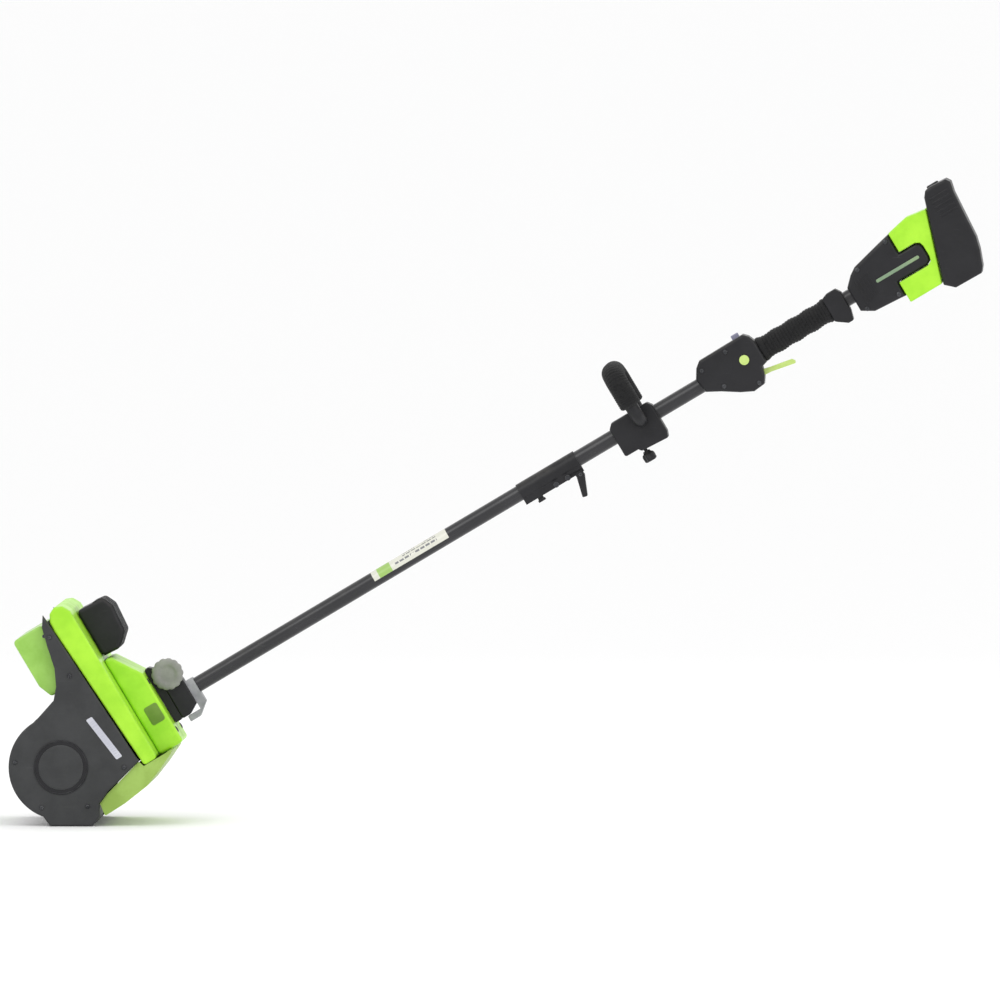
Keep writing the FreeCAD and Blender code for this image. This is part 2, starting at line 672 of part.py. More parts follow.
def gearbox_fairing():
    """The bulge behind the hood that covers the gear case neck."""
    shell = open_shell(corners("fairing", hood_rear), "fairing_half_width", "hood_wall", "fairing_round",
                       [("0", "0"), ("-2 * hood_wall", "0"), ("-4 * hood_wall", "0")], "fairing_edge_round")
    neck = cylinder("along", (hood_rear, "0", "0"), "neck_radius + free_gap", "2 * fairing_depth")
    finish(cut(shell, neck), "gearbox_fairing")


def rear_panel():
    """The lower rear skin of the head, a tray open at the top."""
    shell = open_shell(corners("panel"), "panel_half_width", "hood_wall", "hood_wall",
                       [("0", "0"), ("0", "2 * hood_wall"), ("0", "4 * hood_wall")])
    finish(shell, "rear_panel")


def vent_cap():
    """The ribbed cap over the hood's air outlet."""
    outline = corners("vent", hood_rear)
    shell = open_shell(outline, "vent_half_width", "vent_wall", "vent_round",
                       [("0", "0"), ("-2 * vent_wall", "0"), ("-4 * vent_wall", "0")], "vent_edge_round")
    slots = []
    for step in range(-3, 4):
        middle = f"{step} * vent_slot_pitch"
        slots.append(box(
            (f"{hood_rear} + vent_slot_front", f"{middle} - vent_slot_half_width", "vent_slot_bottom"),
            (f"{hood_rear} + {beyond}", f"{middle} + vent_slot_half_width", "vent_slot_top")))
    finish(cut(shell, *slots), "vent_cap")


def rotor_liner():
    """The sheet behind the rotor: round it, up the gear case and back to the hood's top."""
    half = f"({plate_inside} - free_gap)"
    outer = f"({liner_radius} + liner_thickness)"
    band = ring("across", ("0", f"-{half}", "0"), outer, liner_radius, f"2 * {half}")
    reach = "(scraper_reach + pole_angle) * 1 deg"
    sector = [("0", "0"), (f"{beyond} * cos({reach})", f"-{beyond} * sin({reach})"), (beyond, f"-{beyond}"),
              (beyond, "0")]
    lower = common(band, prism(sector, f"-{half}", half))
    wall = box((liner_radius, f"-{half}", "0"), (outer, half, "liner_height"))
    lean = [(liner_radius, "liner_height"), (outer, "liner_height"), (f"{outer} + liner_lean", "liner_top"),
            (f"{liner_radius} + liner_lean", "liner_top")]
    finish(fuse(lower, wall, prism(lean, f"-{half}", half)), "rotor_liner")


def scraper_bar():
    """The flat-footed bar behind the rotor that the head rests on."""
    half = f"({plate_inside} - free_gap)"
    outline = corners("scraper", "rotor_setback", "-rotor_height")
    finish(prism(outline, f"-{half}", half), "scraper_bar", "ground")


def discharge_flap():
    """The deflector over the rotor's outlet: front, top and two cheeks, open below and behind."""
    outline = corners("flap")
    shell = open_shell(outline, flap_outside, "flap_wall", "flap_round",
                       [("0", "0"), ("3 * flap_wall", "-3 * flap_wall"), ("6 * flap_wall", "-6 * flap_wall"),
                        ("0", "-3 * flap_wall"), ("0", "-6 * flap_wall"), ("3 * flap_wall", "0"),
                        ("6 * flap_wall", "0")], "flap_edge_round")
    half = f"({flap_outside} + 1)"
    pins = cylinder("across", (flap_pivot, f"-{half}", "flap_pivot_up"), "flap_pin_radius + running_gap",
                    f"2 * {half}")
    finish(cut(shell, pins), "discharge_flap")


# --- rotor -------------------------------------------------------------------------------------

def rotor():
    """Shaft, drum, four rubber paddles and the large pulley."""
    turned("rotor_shaft", "across", stepped([
        (f"-{pulley_outside} - 1", f"{plate_outside} + 6", "rotor_shaft_radius")]), "ground")
    wall = ring("across", ("0", f"-{drum_end}", "0"), "drum_radius", "drum_radius - drum_wall",
                f"2 * {drum_end}")
    ends = [ring("across", ("0", start, "0"), "drum_radius", "rotor_shaft_radius", "drum_wall")
            for start in (f"-{drum_end}", f"{drum_end} - drum_wall")]
    drum = fuse(wall, *ends)
    finish(drum, "rotor_drum", "ground")
    blades = []
    half = "paddle_thickness / 2"
    low = f"-{drum_end} + 3"
    high = f"{drum_end} - 3"
    seat = "drum_radius"
    for axis_low, axis_high in (
            ((seat, low, f"-{half}"), ("rotor_radius", high, half)),
            (("-rotor_radius", low, f"-{half}"), (f"-{seat}", high, half)),
            ((f"-{half}", low, seat), (half, high, "rotor_radius")),
            ((f"-{half}", low, "-rotor_radius"), (half, high, f"-{seat}"))):
        blades.append(box(axis_low, axis_high))
    barrel = cylinder("across", ("0", f"-{drum_end}", "0"), "drum_radius", f"2 * {drum_end}")
    finish(group(*[cut(blade, barrel) for blade in blades]), "rotor_paddles", "ground")
    bore = "rotor_shaft_radius"
    turned("large_pulley", "across", pulley_rim("large_pulley_radius", bore))


def pulley_rim(seat, bore):
    """The (station, radius) corners of a flanged belt pulley, from its bore and back to it."""
    start = f"-{pulley_outside}"
    end = f"{start} + pulley_width"
    flange = "((pulley_width - belt_width - 1) / 2)"
    rim = f"{seat} + pulley_flange"
    return [(start, bore), (start, rim), (f"{start} + {flange}", rim), (f"{start} + {flange}", seat),
            (f"{end} - {flange}", seat), (f"{end} - {flange}", rim), (end, rim), (end, bore)]


def drive_belt():
    """The belt round both pulleys, its two runs tangent to them."""
    start = f"-{pulley_outside} + (pulley_width - belt_width) / 2"

    def loop(gap):
        large = f"(large_pulley_radius + {gap})"
        small = f"(small_pulley_radius + {gap})"
        rise = f"(({large} - {small}) / {cross_along})"
        lean = f"sqrt(1 - {rise} * {rise})"
        wedge = [(f"{large} * {rise}", f"{large} * {lean}"),
                 (f"{cross_along} + {small} * {rise}", f"{small} * {lean}"),
                 (f"{cross_along} + {small} * {rise}", f"-{small} * {lean}"),
                 (f"{large} * {rise}", f"-{large} * {lean}")]
        return fuse(
            cylinder("across", ("0", start, "0"), large, "belt_width"),
            cylinder("across", (cross_along, start, "0"), small, "belt_width"),
            prism(wedge, start, f"{start} + belt_width"))
    finish(cut(loop("belt_gap + belt_thickness"), loop("belt_gap")), "drive_belt")


# --- reduction gears ---------------------------------------------------------------------------

def bevel_gear(teeth, pitch_radius, mate_radius, phase, bore, back):
    """A straight bevel gear about +X, its apex at zero and its large end at mate_radius along X.

    Each tooth is a wedge whose section shrinks towards the apex, on a root cone."""
    distance = math.hypot(pitch_radius, mate_radius)
    cone_angle = math.atan2(pitch_radius, mate_radius)
    near = 1 - number("tooth_face") / distance
    height = number("tooth_height")
    depth = number("tooth_depth")
    outward = Vector(-math.sin(cone_angle), 0, math.cos(cone_angle))
    pitch_point = Vector(mate_radius, 0, pitch_radius)
    half = math.pi * pitch_radius / teeth * number("tooth_share")

    def section(scale, swell):
        root = pitch_point - outward * (depth + 0.4)
        tip = pitch_point + outward * height
        sides = [root + Vector(0, half * 1.5, 0), root - Vector(0, half * 1.5, 0),
                 tip - Vector(0, half * swell, 0), tip + Vector(0, half * swell, 0)]
        return Part.makePolygon([point * scale for point in sides + sides[:1]])

    tooth = Part.makeLoft([section(near, 0.55), section(1, 0.55)], True, True)
    root_large = pitch_point - outward * depth
    root_small = root_large * near
    profile = [Vector(root_small.x, 0, bore), root_small, root_large,
               Vector(mate_radius + back, 0, root_large.z), Vector(mate_radius + back, 0, bore)]
    face = Part.Face(Part.makePolygon(profile + profile[:1]))
    blank = face.revolve(Vector(), Vector(1, 0, 0), 360)
    copies = []
    for index in range(teeth):
        copy = tooth.copy()
        copy.rotate(Vector(), Vector(1, 0, 0), 360 * (index + phase) / teeth)
        copies.append(copy)
    gear = blank.fuse(copies).removeSplitter()
    return gear.cut(Part.makeCylinder(bore, 4 * distance, Vector(-distance, 0, 0), Vector(1, 0, 0)))


def gears():
    """Pinion on the drive shaft and crown gear on the cross shaft, meshed at the centre plane's left."""
    pinion_radius = number("pinion_pitch_radius")
    crown_radius = number("crown_pitch_radius")
    pinion_teeth = int(number("pinion_teeth"))
    crown_teeth = int(number("crown_teeth"))
    bore = number("drive_shaft_radius")
    pinion = add("Part::Feature", "pinion_gear")
    pinion.Shape = bevel_gear(pinion_teeth, pinion_radius, crown_radius, 0.5 + pinion_teeth / 4, bore, 3)
    finish(pinion, "pinion_gear", "pole", (cross_along, "0", "0"))
    crown = add("Part::Feature", "crown_gear")
    shape = bevel_gear(crown_teeth, crown_radius, pinion_radius, 0, number("cross_shaft_radius"), 4)
    to_left = Placement(Vector(), Rotation(Vector(0, 1, 0), 90).multiply(Rotation(Vector(0, 0, 1), -90)))
    crown.Shape = shape.transformed(to_left.toMatrix(), True)
    finish(crown, "crown_gear", "pole", (cross_along, "0", "0"))


def cross_shaft():
    """The cross shaft, with the small pulley turned on its end."""
    start = f"-{pulley_outside} - 1"
    end = "case_right - case_wall"
    radius = "cross_shaft_radius"
    rim = pulley_rim("small_pulley_radius", radius)
    profile = [(start, "0"), (start, radius), *rim, (end, radius), (end, "0")]
    turned("cross_shaft", "across", profile, centre=(cross_along, "0", "0"))


def bearings():
    """Rotor bearings in both side plates, and the small bearings of the cross and drive shafts."""
    rings = [ring("across", ("0", start, "0"), "rotor_bearing_radius", "rotor_shaft_radius + running_gap",
                  "rotor_bearing_width")
             for start in (f"-{plate_outside}", f"{plate_outside} - rotor_bearing_width")]
    rings += [ring("across", (cross_along, start, "0"), "shaft_bearing_radius",
                   "cross_shaft_radius + running_gap", "shaft_bearing_width")
              for start in (f"-{plate_outside}", "-case_left")]
    rings.append(ring("along", (nose_along, "0", "0"), "shaft_bearing_radius",
                      "drive_shaft_radius + running_gap", "shaft_bearing_width"))
    finish(group(*rings), "bearings")


def case_form(low, high, inset):
    """The gear case box between two planes across the head."""
    rear = f"{cross_along} + case_rear"
    return box((f"{case_front} + {inset}", low, f"-case_half_height + {inset}"),
               (f"{rear} - {inset}", high, f"case_half_height - {inset}"))


def gear_case():
    """The cast gear case: a box round the bevel gears and a neck with a socket for the pole."""
    rear = f"({cross_along} + case_rear)"
    split = "(case_right - case_wall)"
    body = fuse(
        case_form("-case_left", split, "0"),
        cylinder("along", (f"{rear} - 1", "0", "0"), "neck_radius", f"{clamp_rear} - {rear} + 1"))
    hollow = case_form("-case_left + case_wall", split, "case_wall")
    bore = cylinder("along", (f"{rear} - 2 * case_wall", "0", "0"), "drive_shaft_radius + 3 * free_gap",
                    f"{clamp_rear} - {rear} + 3 * case_wall")
    bearing_seat = cylinder("along", (nose_along, "0", "0"), "shaft_bearing_radius",
                            "shaft_bearing_width + 4")
    socket = cylinder("along", (lower_start, "0", "0"), "tube_radius", "tube_socket + 2")
    seat = cylinder("across", (cross_along, "-case_left - 1", "0"), "shaft_bearing_radius", "case_wall + 4")
    finish(cut(body, hollow, bore, bearing_seat, socket, seat), "gear_case")
    lid = case_form(split, "case_right", "0")
    pocket = cylinder("across", (cross_along, f"{split} - 1", "0"), "cross_shaft_radius + running_gap", "2")
    finish(cut(lid, pocket), "gear_case_cover")


def drive_shafts():
    """The lower shaft with the sleeve that receives the upper shaft's end."""
    small_end = f"({cross_along} + crown_pitch_radius - tooth_face)"
    lower_tip = f"({lower_end} - 6)"
    sleeve_start = f"({lower_tip} - sleeve_length)"
    upper_tip = f"({sleeve_start} + 8)"
    turned("lower_drive_shaft", "along", [
        (f"{small_end} + 2", "0"), (f"{small_end} + 2", "drive_shaft_radius"),
        (sleeve_start, "drive_shaft_radius"), (sleeve_start, "sleeve_radius"), (lower_tip, "sleeve_radius"),
        (lower_tip, "drive_shaft_radius + running_gap"),
        (f"{upper_tip} - 4", "drive_shaft_radius + running_gap"), (f"{upper_tip} - 4", "0")])
    turned("upper_drive_shaft", "along", stepped([
        (upper_tip, f"{housing_front} + stator_front + stator_length + 6", "drive_shaft_radius")]))
    rings = [ring("along", (f"{lower_start} + bush_start + {index} * bush_spacing", "0", "0"), tube_bore,
                  "drive_shaft_radius + running_gap", "bush_length") for index in range(3)]
    finish(group(*rings), "lower_shaft_bushes")
    rings = [ring("along", (f"{upper_start} + {share} * upper_tube_length", "0", "0"), tube_bore,
                  "drive_shaft_radius + running_gap", "bush_length") for share in (0.3, 0.62, 0.94)]
    finish(group(*rings), "upper_shaft_bushes")


# --- pole clamp and tubes ----------------------------------------------------------------------

def pole_clamp():
    """Collar plate, split clamp, saddle, knob and bolt where the pole meets the head."""
    collar = prism(corners("collar", fairing_rear), "-collar_half_width", "collar_half_width",
                   rounding="clamp_edge_round")
    hole = cylinder("along", (fairing_rear, "0", "0"), "neck_radius", "2 * collar_thickness")
    finish(cut(collar, hole), "collar_plate")

    block = prism(corners("clamp", clamp_front), "-clamp_half_width", "clamp_half_width",
                  rounding="clamp_round")
    block = rounded(block, "clamp_edge_round", on_both_sides("clamp_half_width"))
    bore = cylinder("along", (f"{clamp_front} - 1", "0", "0"), "neck_radius", "clamp_length + 2")
    slit = box((f"{clamp_front} - 1", "-clamp_slit / 2", "0"),
               (f"{clamp_rear} + 1", "clamp_slit / 2", beyond))
    middle = f"({clamp_front} + clamp_length / 2)"
    bolt_hole = cylinder("across", (middle, f"-{beyond}", "knob_up"), "knob_bolt_radius + running_gap",
                         f"2 * {beyond}")
    finish(cut(block, bore, slit, bolt_hole), "pole_clamp")

    knob_seat = "(-clamp_half_width - knob_thickness)"
    knob = cut(
        cylinder("across", (middle, f"{knob_seat} - free_gap", "knob_up"), "knob_radius", "knob_thickness"),
        cylinder("across", (middle, knob_seat, "knob_up"), "knob_bolt_radius", "knob_thickness + 1"))
    shank = cylinder("across", (middle, knob_seat, "knob_up"), "knob_bolt_radius",
                     "2 * clamp_half_width + knob_thickness + clamp_bolt_spare")
    nut = cylinder("across", (middle, "clamp_half_width + free_gap", "knob_up"), "2 * knob_bolt_radius",
                   "clamp_nut_length")
    finish(group(knob, fuse(shank, nut)), "clamp_knob")

    saddle = prism(corners("saddle", clamp_rear), "-saddle_half_width", "saddle_half_width", rounding="1.5")
    seat = cylinder("along", (clamp_front, "0", "0"), "tube_radius", beyond)
    finish(cut(saddle, seat), "tube_saddle")


def tubes():
    for label, start, length in (("lower_tube", lower_start, "lower_tube_length"),
                                 ("upper_tube", upper_start, "upper_tube_length")):
        turned(label, "along", [
            (start, tube_bore), (start, "tube_radius"), (f"{start} + {length}", "tube_radius"),
            (f"{start} + {length}", tube_bore)])
    start = f"({lower_start} + label_start)"
    band = ring("along", (start, "0", "0"), "tube_radius + label_thickness", "tube_radius", "label_length")
    upper_half = box((f"{start} - 1", "-2 * tube_radius", "-3"),
                     (f"{start} + label_length + 1", "2 * tube_radius", "2 * tube_radius"))
    finish(common(band, upper_half), "pole_label")


# --- coupler -----------------------------------------------------------------------------------

def coupler():
    """The split coupler, with its bolts, release button and clamp lever."""
    lever_along = f"({coupler_rear} - lever_back)"
    release = f"({coupler_front} + release_along)"
    barrel = cylinder("along", (coupler_front, "0", "0"), "coupler_radius", "coupler_length")
    block = box((coupler_front, "-coupler_block_half", "-coupler_drop"),
                (coupler_rear, "coupler_block_half", "0"))
    lug = prism(corners("lug", lever_along), "-lug_half_width", "lug_half_width")
    sides = (("-coupler_block_half - 1", "-lug_half_width"), ("lug_half_width", "coupler_block_half + 1"))
    lever_room = [box((f"{lever_along} - 16", first, f"-{beyond}"),
                      (f"{lever_along} + 20", last, "-coupler_radius")) for first, last in sides]
    sliding = cylinder("along", (f"{coupler_front} - 1", "0", "0"), "tube_radius + running_gap",
                       "coupler_overlap + 1")
    fixed = cylinder("along", (f"{coupler_front} + coupler_overlap", "0", "0"), "tube_radius",
                     "coupler_length")
    button_hole = cylinder("up", (release, "0", "-2 * coupler_drop"), "release_radius + running_gap",
                           "2 * coupler_drop - tube_radius + 2")
    bolts = [f"({coupler_front} + coupler_overlap + {step})" for step in (4, 26)]
    bolt_holes = [cylinder("across", (along, f"-{beyond}", "-coupler_bolt_drop"), "coupler_bolt_radius",
                           f"2 * {beyond}") for along in bolts]
    pin_hole = cylinder("across", (lever_along, f"-{beyond}", "-lever_drop"), "lever_pin_radius",
                        f"2 * {beyond}")
    shell = fuse(cut(fuse(barrel, block), *lever_room), lug)
    finish(cut(shell, sliding, fixed, button_hole, pin_hole, *bolt_holes), "coupler_body")

    for along in bolts:
        head = cylinder("across", (along, "-coupler_block_half - coupler_bolt_head", "-coupler_bolt_drop"),
                        "1.8 * coupler_bolt_radius", "coupler_bolt_head")
        shank = cylinder("across", (along, "-coupler_block_half", "-coupler_bolt_drop"),
                         "coupler_bolt_radius", "2 * coupler_block_half")
        unit_fasteners.append(fuse(head, shank))
    unit_fasteners.append(cylinder("across", (lever_along, "-lever_half_width", "-lever_drop"),
                                   "lever_pin_radius", "2 * lever_half_width"))

    tip = "(tube_radius + release_travel + button_gap)"
    low = (release, "0", "-release_drop")
    button = fuse(
        cylinder("up", low, "release_radius", f"release_drop - {tip}"),
        cylinder("up", low, "1.3 * release_radius", "release_drop - coupler_drop - release_travel - 1"))
    finish(button, "release_button")

    paddle = prism(corners("lever", lever_along, "-lever_drop"), "-lever_half_width", "lever_half_width",
                   rounding="2")
    slot = box((f"{lever_along} - 30", "-lug_half_width - button_gap", "-lever_drop - 9"),
               (f"{lever_along} + 30", "lug_half_width + button_gap", "0"))
    hole = cylinder("across", (lever_along, f"-{beyond}", "-lever_drop"), "lever_pin_radius + running_gap",
                    f"2 * {beyond}")
    finish(cut(paddle, slot, hole), "clamp_lever")


# --- loop handle -------------------------------------------------------------------------------

def loop_form(radius):
    """The loop's bar: straight runs and quarter rings, square to the pole."""
    plane = f"({handle_along} + loop_ahead)"
    side = "(loop_half_width - loop_corner)"
    high = "(loop_top - loop_corner)"
    low = "(loop_bottom + loop_corner)"
    runs = [
        cylinder("across", (plane, f"-{side}", "loop_top"), radius, f"2 * {side}"),
        cylinder("across", (plane, f"-{side}", "loop_bottom"), radius, f"2 * {side}"),
        cylinder("up", (plane, "-loop_half_width", low), radius, f"{high} - {low}"),
        cylinder("up", (plane, "loop_half_width", low), radius, f"{high} - {low}"),
    ]
    corner_places = [(side, high), (f"-{side}", high), (f"-{side}", low), (side, low)]
    for quarter, (across, up) in enumerate(corner_places):
        bend = add("Part::Torus", "bend")
        bind(bend, "Radius1", "loop_corner")
        bind(bend, "Radius2", radius)
        bend.Angle3 = 90
        turn = Rotation(Vector(0, 0, 1), 90 * quarter)
        bend.Placement = Placement(Vector(), PLANES["cross"][0].multiply(turn))
        bind(bend, "Placement.Base.x", plane)
        bind(bend, "Placement.Base.y", across)
        bind(bend, "Placement.Base.z", up)
        runs.append(bend)
    return fuse(*runs)


def loop_handle():
    """The clamp on the upper tube, the loop with its foam grip, and the knob that locks the clamp."""
    block = prism(corners("handle", handle_along), "-handle_half_width", "handle_half_width",
                  rounding="clamp_round")
    block = rounded(block, "clamp_edge_round", on_both_sides("handle_half_width"))
    knob_along = f"({handle_along} + handle_knob_ahead)"
    bore = cylinder("along", (f"{handle_along} - {beyond} / 2", "0", "0"), "tube_radius + running_gap",
                    beyond)
    stud_hole = cylinder("up", (knob_along, "0", "handle_knob_bottom"), "handle_stud_radius + running_gap",
                         "handle_stud_top - handle_knob_bottom + 1")
    finish(cut(block, bore, stud_hole), "handle_clamp")

    plane = f"({handle_along} + loop_ahead)"
    inside = box((f"{plane} - 40", "-handle_half_width", "-40"),
                 (f"{plane} + 40", "handle_half_width", "40"))
    finish(cut(loop_form("loop_bar_radius"), inside), "loop_handle")
    above = box((f"{plane} - 40", f"-{beyond}", "loop_grip_start"), (f"{plane} + 40", beyond, beyond))
    foam = cut(loop_form("loop_grip_radius"), loop_form("loop_bar_radius"))
    finish(common(foam, above), "loop_grip")

    turned("handle_knob", "up", [
        ("handle_knob_bottom", "0"), ("handle_knob_bottom", "handle_knob_radius"),
        ("handle_knob_top", "handle_knob_radius"), ("handle_knob_top", "handle_stud_radius"),
        ("handle_stud_top", "handle_stud_radius"), ("handle_stud_top", "0")], centre=(knob_along, "0", "0"))


# --- trigger housing and rear grip ---------------------------------------------------------------

def half_shell(outline, half_width, wall, rounding, side, tools):
    """One moulded half of a housing that is split on the centre plane."""
    low, high = (f"-{half_width}", "0") if side < 0 else ("0", half_width)
    inner_low, inner_high = (f"-{half_width} + {wall}", "0") if side < 0 else ("0", f"{half_width} - {wall}")
    outer = rounded(prism(outline, low, high), rounding, on_face("Y", low if side < 0 else high))
    return cut(outer, prism(outline, inner_low, inner_high, inset=wall), *tools)


CONTROL_SCREWS = [(-98, 20), (-50, 27), (-80, -20), (-28, -44)]
HOUSING_SCREWS = [(10, -30), (28, 32), (90, 48), (66, -36)]


def housing_screws():
    """Screws in the left sides of the trigger and motor housings, and the trigger's pin."""
    for places, origin, half in ((CONTROL_SCREWS, grip_front, "control_half_width"),
                                 (HOUSING_SCREWS, housing_front, "housing_half_width")):
        for along, up in places:
            centre = f"({origin} + {along})"
            unit_fasteners.append(fuse(
                cylinder("across", (centre, f"-{half} - screw_head_height", f"{up}"), "screw_head_radius",
                         "screw_head_height"),
                cylinder("across", (centre, f"-{half}", f"{up}"), "screw_radius", "screw_length")))
    reach = "(control_half_width - control_wall)"
    pivot = (f"({grip_front} - trigger_back)", f"-{reach}", "-trigger_drop")
    unit_fasteners.append(cylinder("across", pivot, "trigger_pin_radius", f"2 * {reach}"))


def screw_holes(places, origin, half):
    return [cylinder("across", (f"({origin} + {along})", f"-{half} - 1", f"{up}"), "screw_radius",
                     "screw_length + 2") for along, up in places]


def trigger_housing():
    """Both halves of the housing in front of the rear grip, with its trigger, button and switch."""
    outline = corners("control", grip_front)
    pivot = f"({grip_front} - trigger_back)"
    lock = f"({grip_front} - lock_back)"
    switch = f"({grip_front} - switch_back)"
    for label, side in (("trigger_housing_left", -1), ("trigger_housing_right", 1)):
        tools = [
            cylinder("along", (f"{grip_front} - {beyond}", "0", "0"), "tube_radius", f"2 * {beyond}"),
            prism(corners("trigger_mouth", pivot, "-trigger_drop"), "-trigger_slot", "trigger_slot"),
            box((f"{switch} - button_gap - 1", "-switch_half_width - button_gap", "switch_bottom - 1"),
                (f"{switch} + switch_length + switch_travel + button_gap", "switch_half_width + button_gap",
                 beyond)),
        ]
        if side < 0:
            tools.append(cylinder("across", (lock, f"-{beyond}", "0"), "lock_radius + button_gap", beyond))
            tools += screw_holes(CONTROL_SCREWS, grip_front, "control_half_width")
        shell = half_shell(outline, "control_half_width", "control_wall", "control_round", side, tools)
        finish(shell, label)

    paddle = prism(corners("trigger", pivot, "-trigger_drop"), "-trigger_half_width", "trigger_half_width",
                   rounding="1.5")
    hole = cylinder("across", (pivot, f"-{beyond}", "-trigger_drop"), "trigger_pin_radius + running_gap",
                    f"2 * {beyond}")
    finish(cut(paddle, hole), "trigger")
    outside = (lock, "-control_half_width - lock_proud", "0")
    button = cylinder("across", outside, "lock_radius", "lock_length - 3")
    stem = cylinder("across", outside, "lock_radius / 2", "lock_length")
    finish(fuse(button, stem), "lock_off_button")
    slider = box((switch, "-switch_half_width", "switch_bottom"),
                 (f"{switch} + switch_length", "switch_half_width", "switch_top"))
    finish(rounded(slider, "1.5", on_face("Z", "switch_top")), "top_switch")


def rear_grip():
    turned("rear_grip", "along", [
        (grip_front, "tube_radius"), (grip_front, "grip_radius"),
        (grip_rear, "grip_radius"), (grip_rear, "tube_radius")])
    flare = prism(corners("collar_flare", grip_rear), "-grip_collar_half_width", "grip_collar_half_width",
                  rounding="clamp_edge_round")
    flare = rounded(flare, "clamp_edge_round - 1", on_both_sides("grip_collar_half_width"))
    bore = cylinder("along", (f"{grip_rear} - 5", "0", "0"), "tube_radius", "collar_length + 10")
    finish(cut(flare, bore), "grip_collar")


# --- power unit --------------------------------------------------------------------------------

def motor_housing():
    """Both halves of the motor housing, with the motor and its fan inside."""
    outline = corners("housing", housing_front)
    for label, side in (("motor_housing_left", -1), ("motor_housing_right", 1)):
        tools = [cylinder("along", (f"{housing_front} - {beyond}", "0", "0"), "tube_radius",
                          f"housing_insertion + {beyond}")]
        if side < 0:
            tools += screw_holes(HOUSING_SCREWS, housing_front, "housing_half_width")
        shell = half_shell(outline, "housing_half_width", "housing_wall", "housing_round", side, tools)
        finish(shell, label)

    start = (f"({housing_front} + stator_front)", "0", "0")
    stator = ring("along", start, "stator_radius", "motor_rotor_radius + motor_gap", "stator_length")
    finish(stator, "motor_stator")
    finish(ring("along", start, "motor_rotor_radius", "drive_shaft_radius", "stator_length"), "motor_rotor")

    fan_start = f"({housing_front} + fan_front)"
    hub = ring("along", (fan_start, "0", "0"), "fan_hub_radius", "drive_shaft_radius", "fan_length")
    blades = []
    count = int(number("fan_blades"))
    for index in range(count):
        blade = box((f"{fan_start} + 1", "fan_hub_radius - 1", "-fan_blade_thickness / 2"),
                    (f"{fan_start} + fan_length - 1", "fan_radius", "fan_blade_thickness / 2"))
        turner = group(blade)
        turner.Placement = Placement(Vector(), Rotation(Vector(1, 0, 0), 360 * index / count))
        blades.append(turner)
    finish(fuse(hub, *blades), "motor_fan")


def seam_line(start, end, low, high):
    """A strip along the battery's seam, from start to end across it, run on by low and high."""
    first_x, first_z = (number("seam_a_along"), number("seam_a_up"))
    last_x, last_z = (number("seam_b_along"), number("seam_b_up"))
    length = math.hypot(last_x - first_x, last_z - first_z)
    step_x = f"((seam_b_along - seam_a_along) / {length})"
    step_z = f"((seam_b_up - seam_a_up) / {length})"
    outline = []
    ends = (("a", f"-({low})", start), ("b", high, start), ("b", high, end), ("a", f"-({low})", end))
    for corner, run, shift in ends:
        outline.append((f"{housing_front} + seam_{corner}_along + ({run}) * {step_x} + ({shift}) * {step_z}",
                        f"seam_{corner}_up + ({run}) * {step_z} - ({shift}) * {step_x}"))
    return outline


def battery_mount():
    """The shell behind the motor: a fork round the housing's tongue, with two rails for the battery."""
    outline = corners("mount", housing_front)
    shell = rounded(prism(outline, "-mount_half_width", "mount_half_width", rounding="2"), "housing_wall",
                    on_both_sides("mount_half_width"))
    hollow = prism(outline, "-mount_half_width + housing_wall", "mount_half_width - housing_wall",
                   inset="housing_wall")
    rails = [prism(seam_line("-2", "rail_height", "-10", "-6"), f"{side} * rail_across - rail_half_width",
                   f"{side} * rail_across + rail_half_width") for side in (-1, 1)]
    finish(fuse(cut(shell, hollow), *rails), "battery_mount")

    board_rear = f"({housing_front} + board_front)"
    board = box((f"{board_rear} - board_thickness", "-board_half_width", "board_bottom"),
                (board_rear, "board_half_width", "board_top"))
    micro_switch = box((f"{grip_front} - 62", "-trigger_half_width", "-36"),
                       (f"{grip_front} - 42", "trigger_half_width", "-24"))
    finish(group(board, micro_switch), "control_electronics")


def battery():
    """The battery pack, grooved for the mount's rails, and the latch in its top."""
    outline = corners("battery", housing_front)
    pack = prism(outline, "-battery_half_width", "battery_half_width", rounding="2.5")
    pack = rounded(pack, "battery_round", on_both_sides("battery_half_width"))
    grooves = [prism(seam_line("-6", "rail_height + free_gap", "60", "60"),
                     f"{side} * rail_across - rail_half_width - free_gap",
                     f"{side} * rail_across + rail_half_width + free_gap") for side in (-1, 1)]
    room = prism(corners("latch_room", housing_front), "-latch_half_width - free_gap",
                 "latch_half_width + free_gap")
    finish(cut(pack, room, *grooves), "battery_pack")
    key = prism(corners("latch", housing_front), "-latch_half_width", "latch_half_width", rounding="1.5")
    finish(group(key), "battery_latch")


side_plate("left_side_plate", -1)
side_plate("right_side_plate", 1)
side_covers()
head_fasteners()
hub_cap()
side_badge()
hood_shell()
gearbox_fairing()
rear_panel()
vent_cap()
rotor_liner()
scraper_bar()
discharge_flap()
rotor()
drive_belt()
gears()
cross_shaft()
bearings()
gear_case()
drive_shafts()
pole_clamp()
tubes()
coupler()
loop_handle()
housing_screws()
trigger_housing()
rear_grip()
motor_housing()
battery_mount()
battery()
finish(group(*unit_fasteners), "unit_fasteners")

doc.recompute()
for item in doc.Objects:
    if "Invalid" in item.State or "Error" in item.State:
        raise RuntimeError(f"{item.Name} ({item.Label}) failed: {item.State}")
for piece in pieces:
    if piece.Shape.isNull() or not piece.Shape.isValid() or not piece.Shape.Solids:
        raise RuntimeError(f"{piece.Label} has no valid solid")

os.makedirs("parts", exist_ok=True)
for piece in pieces:
    piece.Shape.exportStep(f"parts/{piece.Label}.step")
print(len(pieces), "sub-parts")
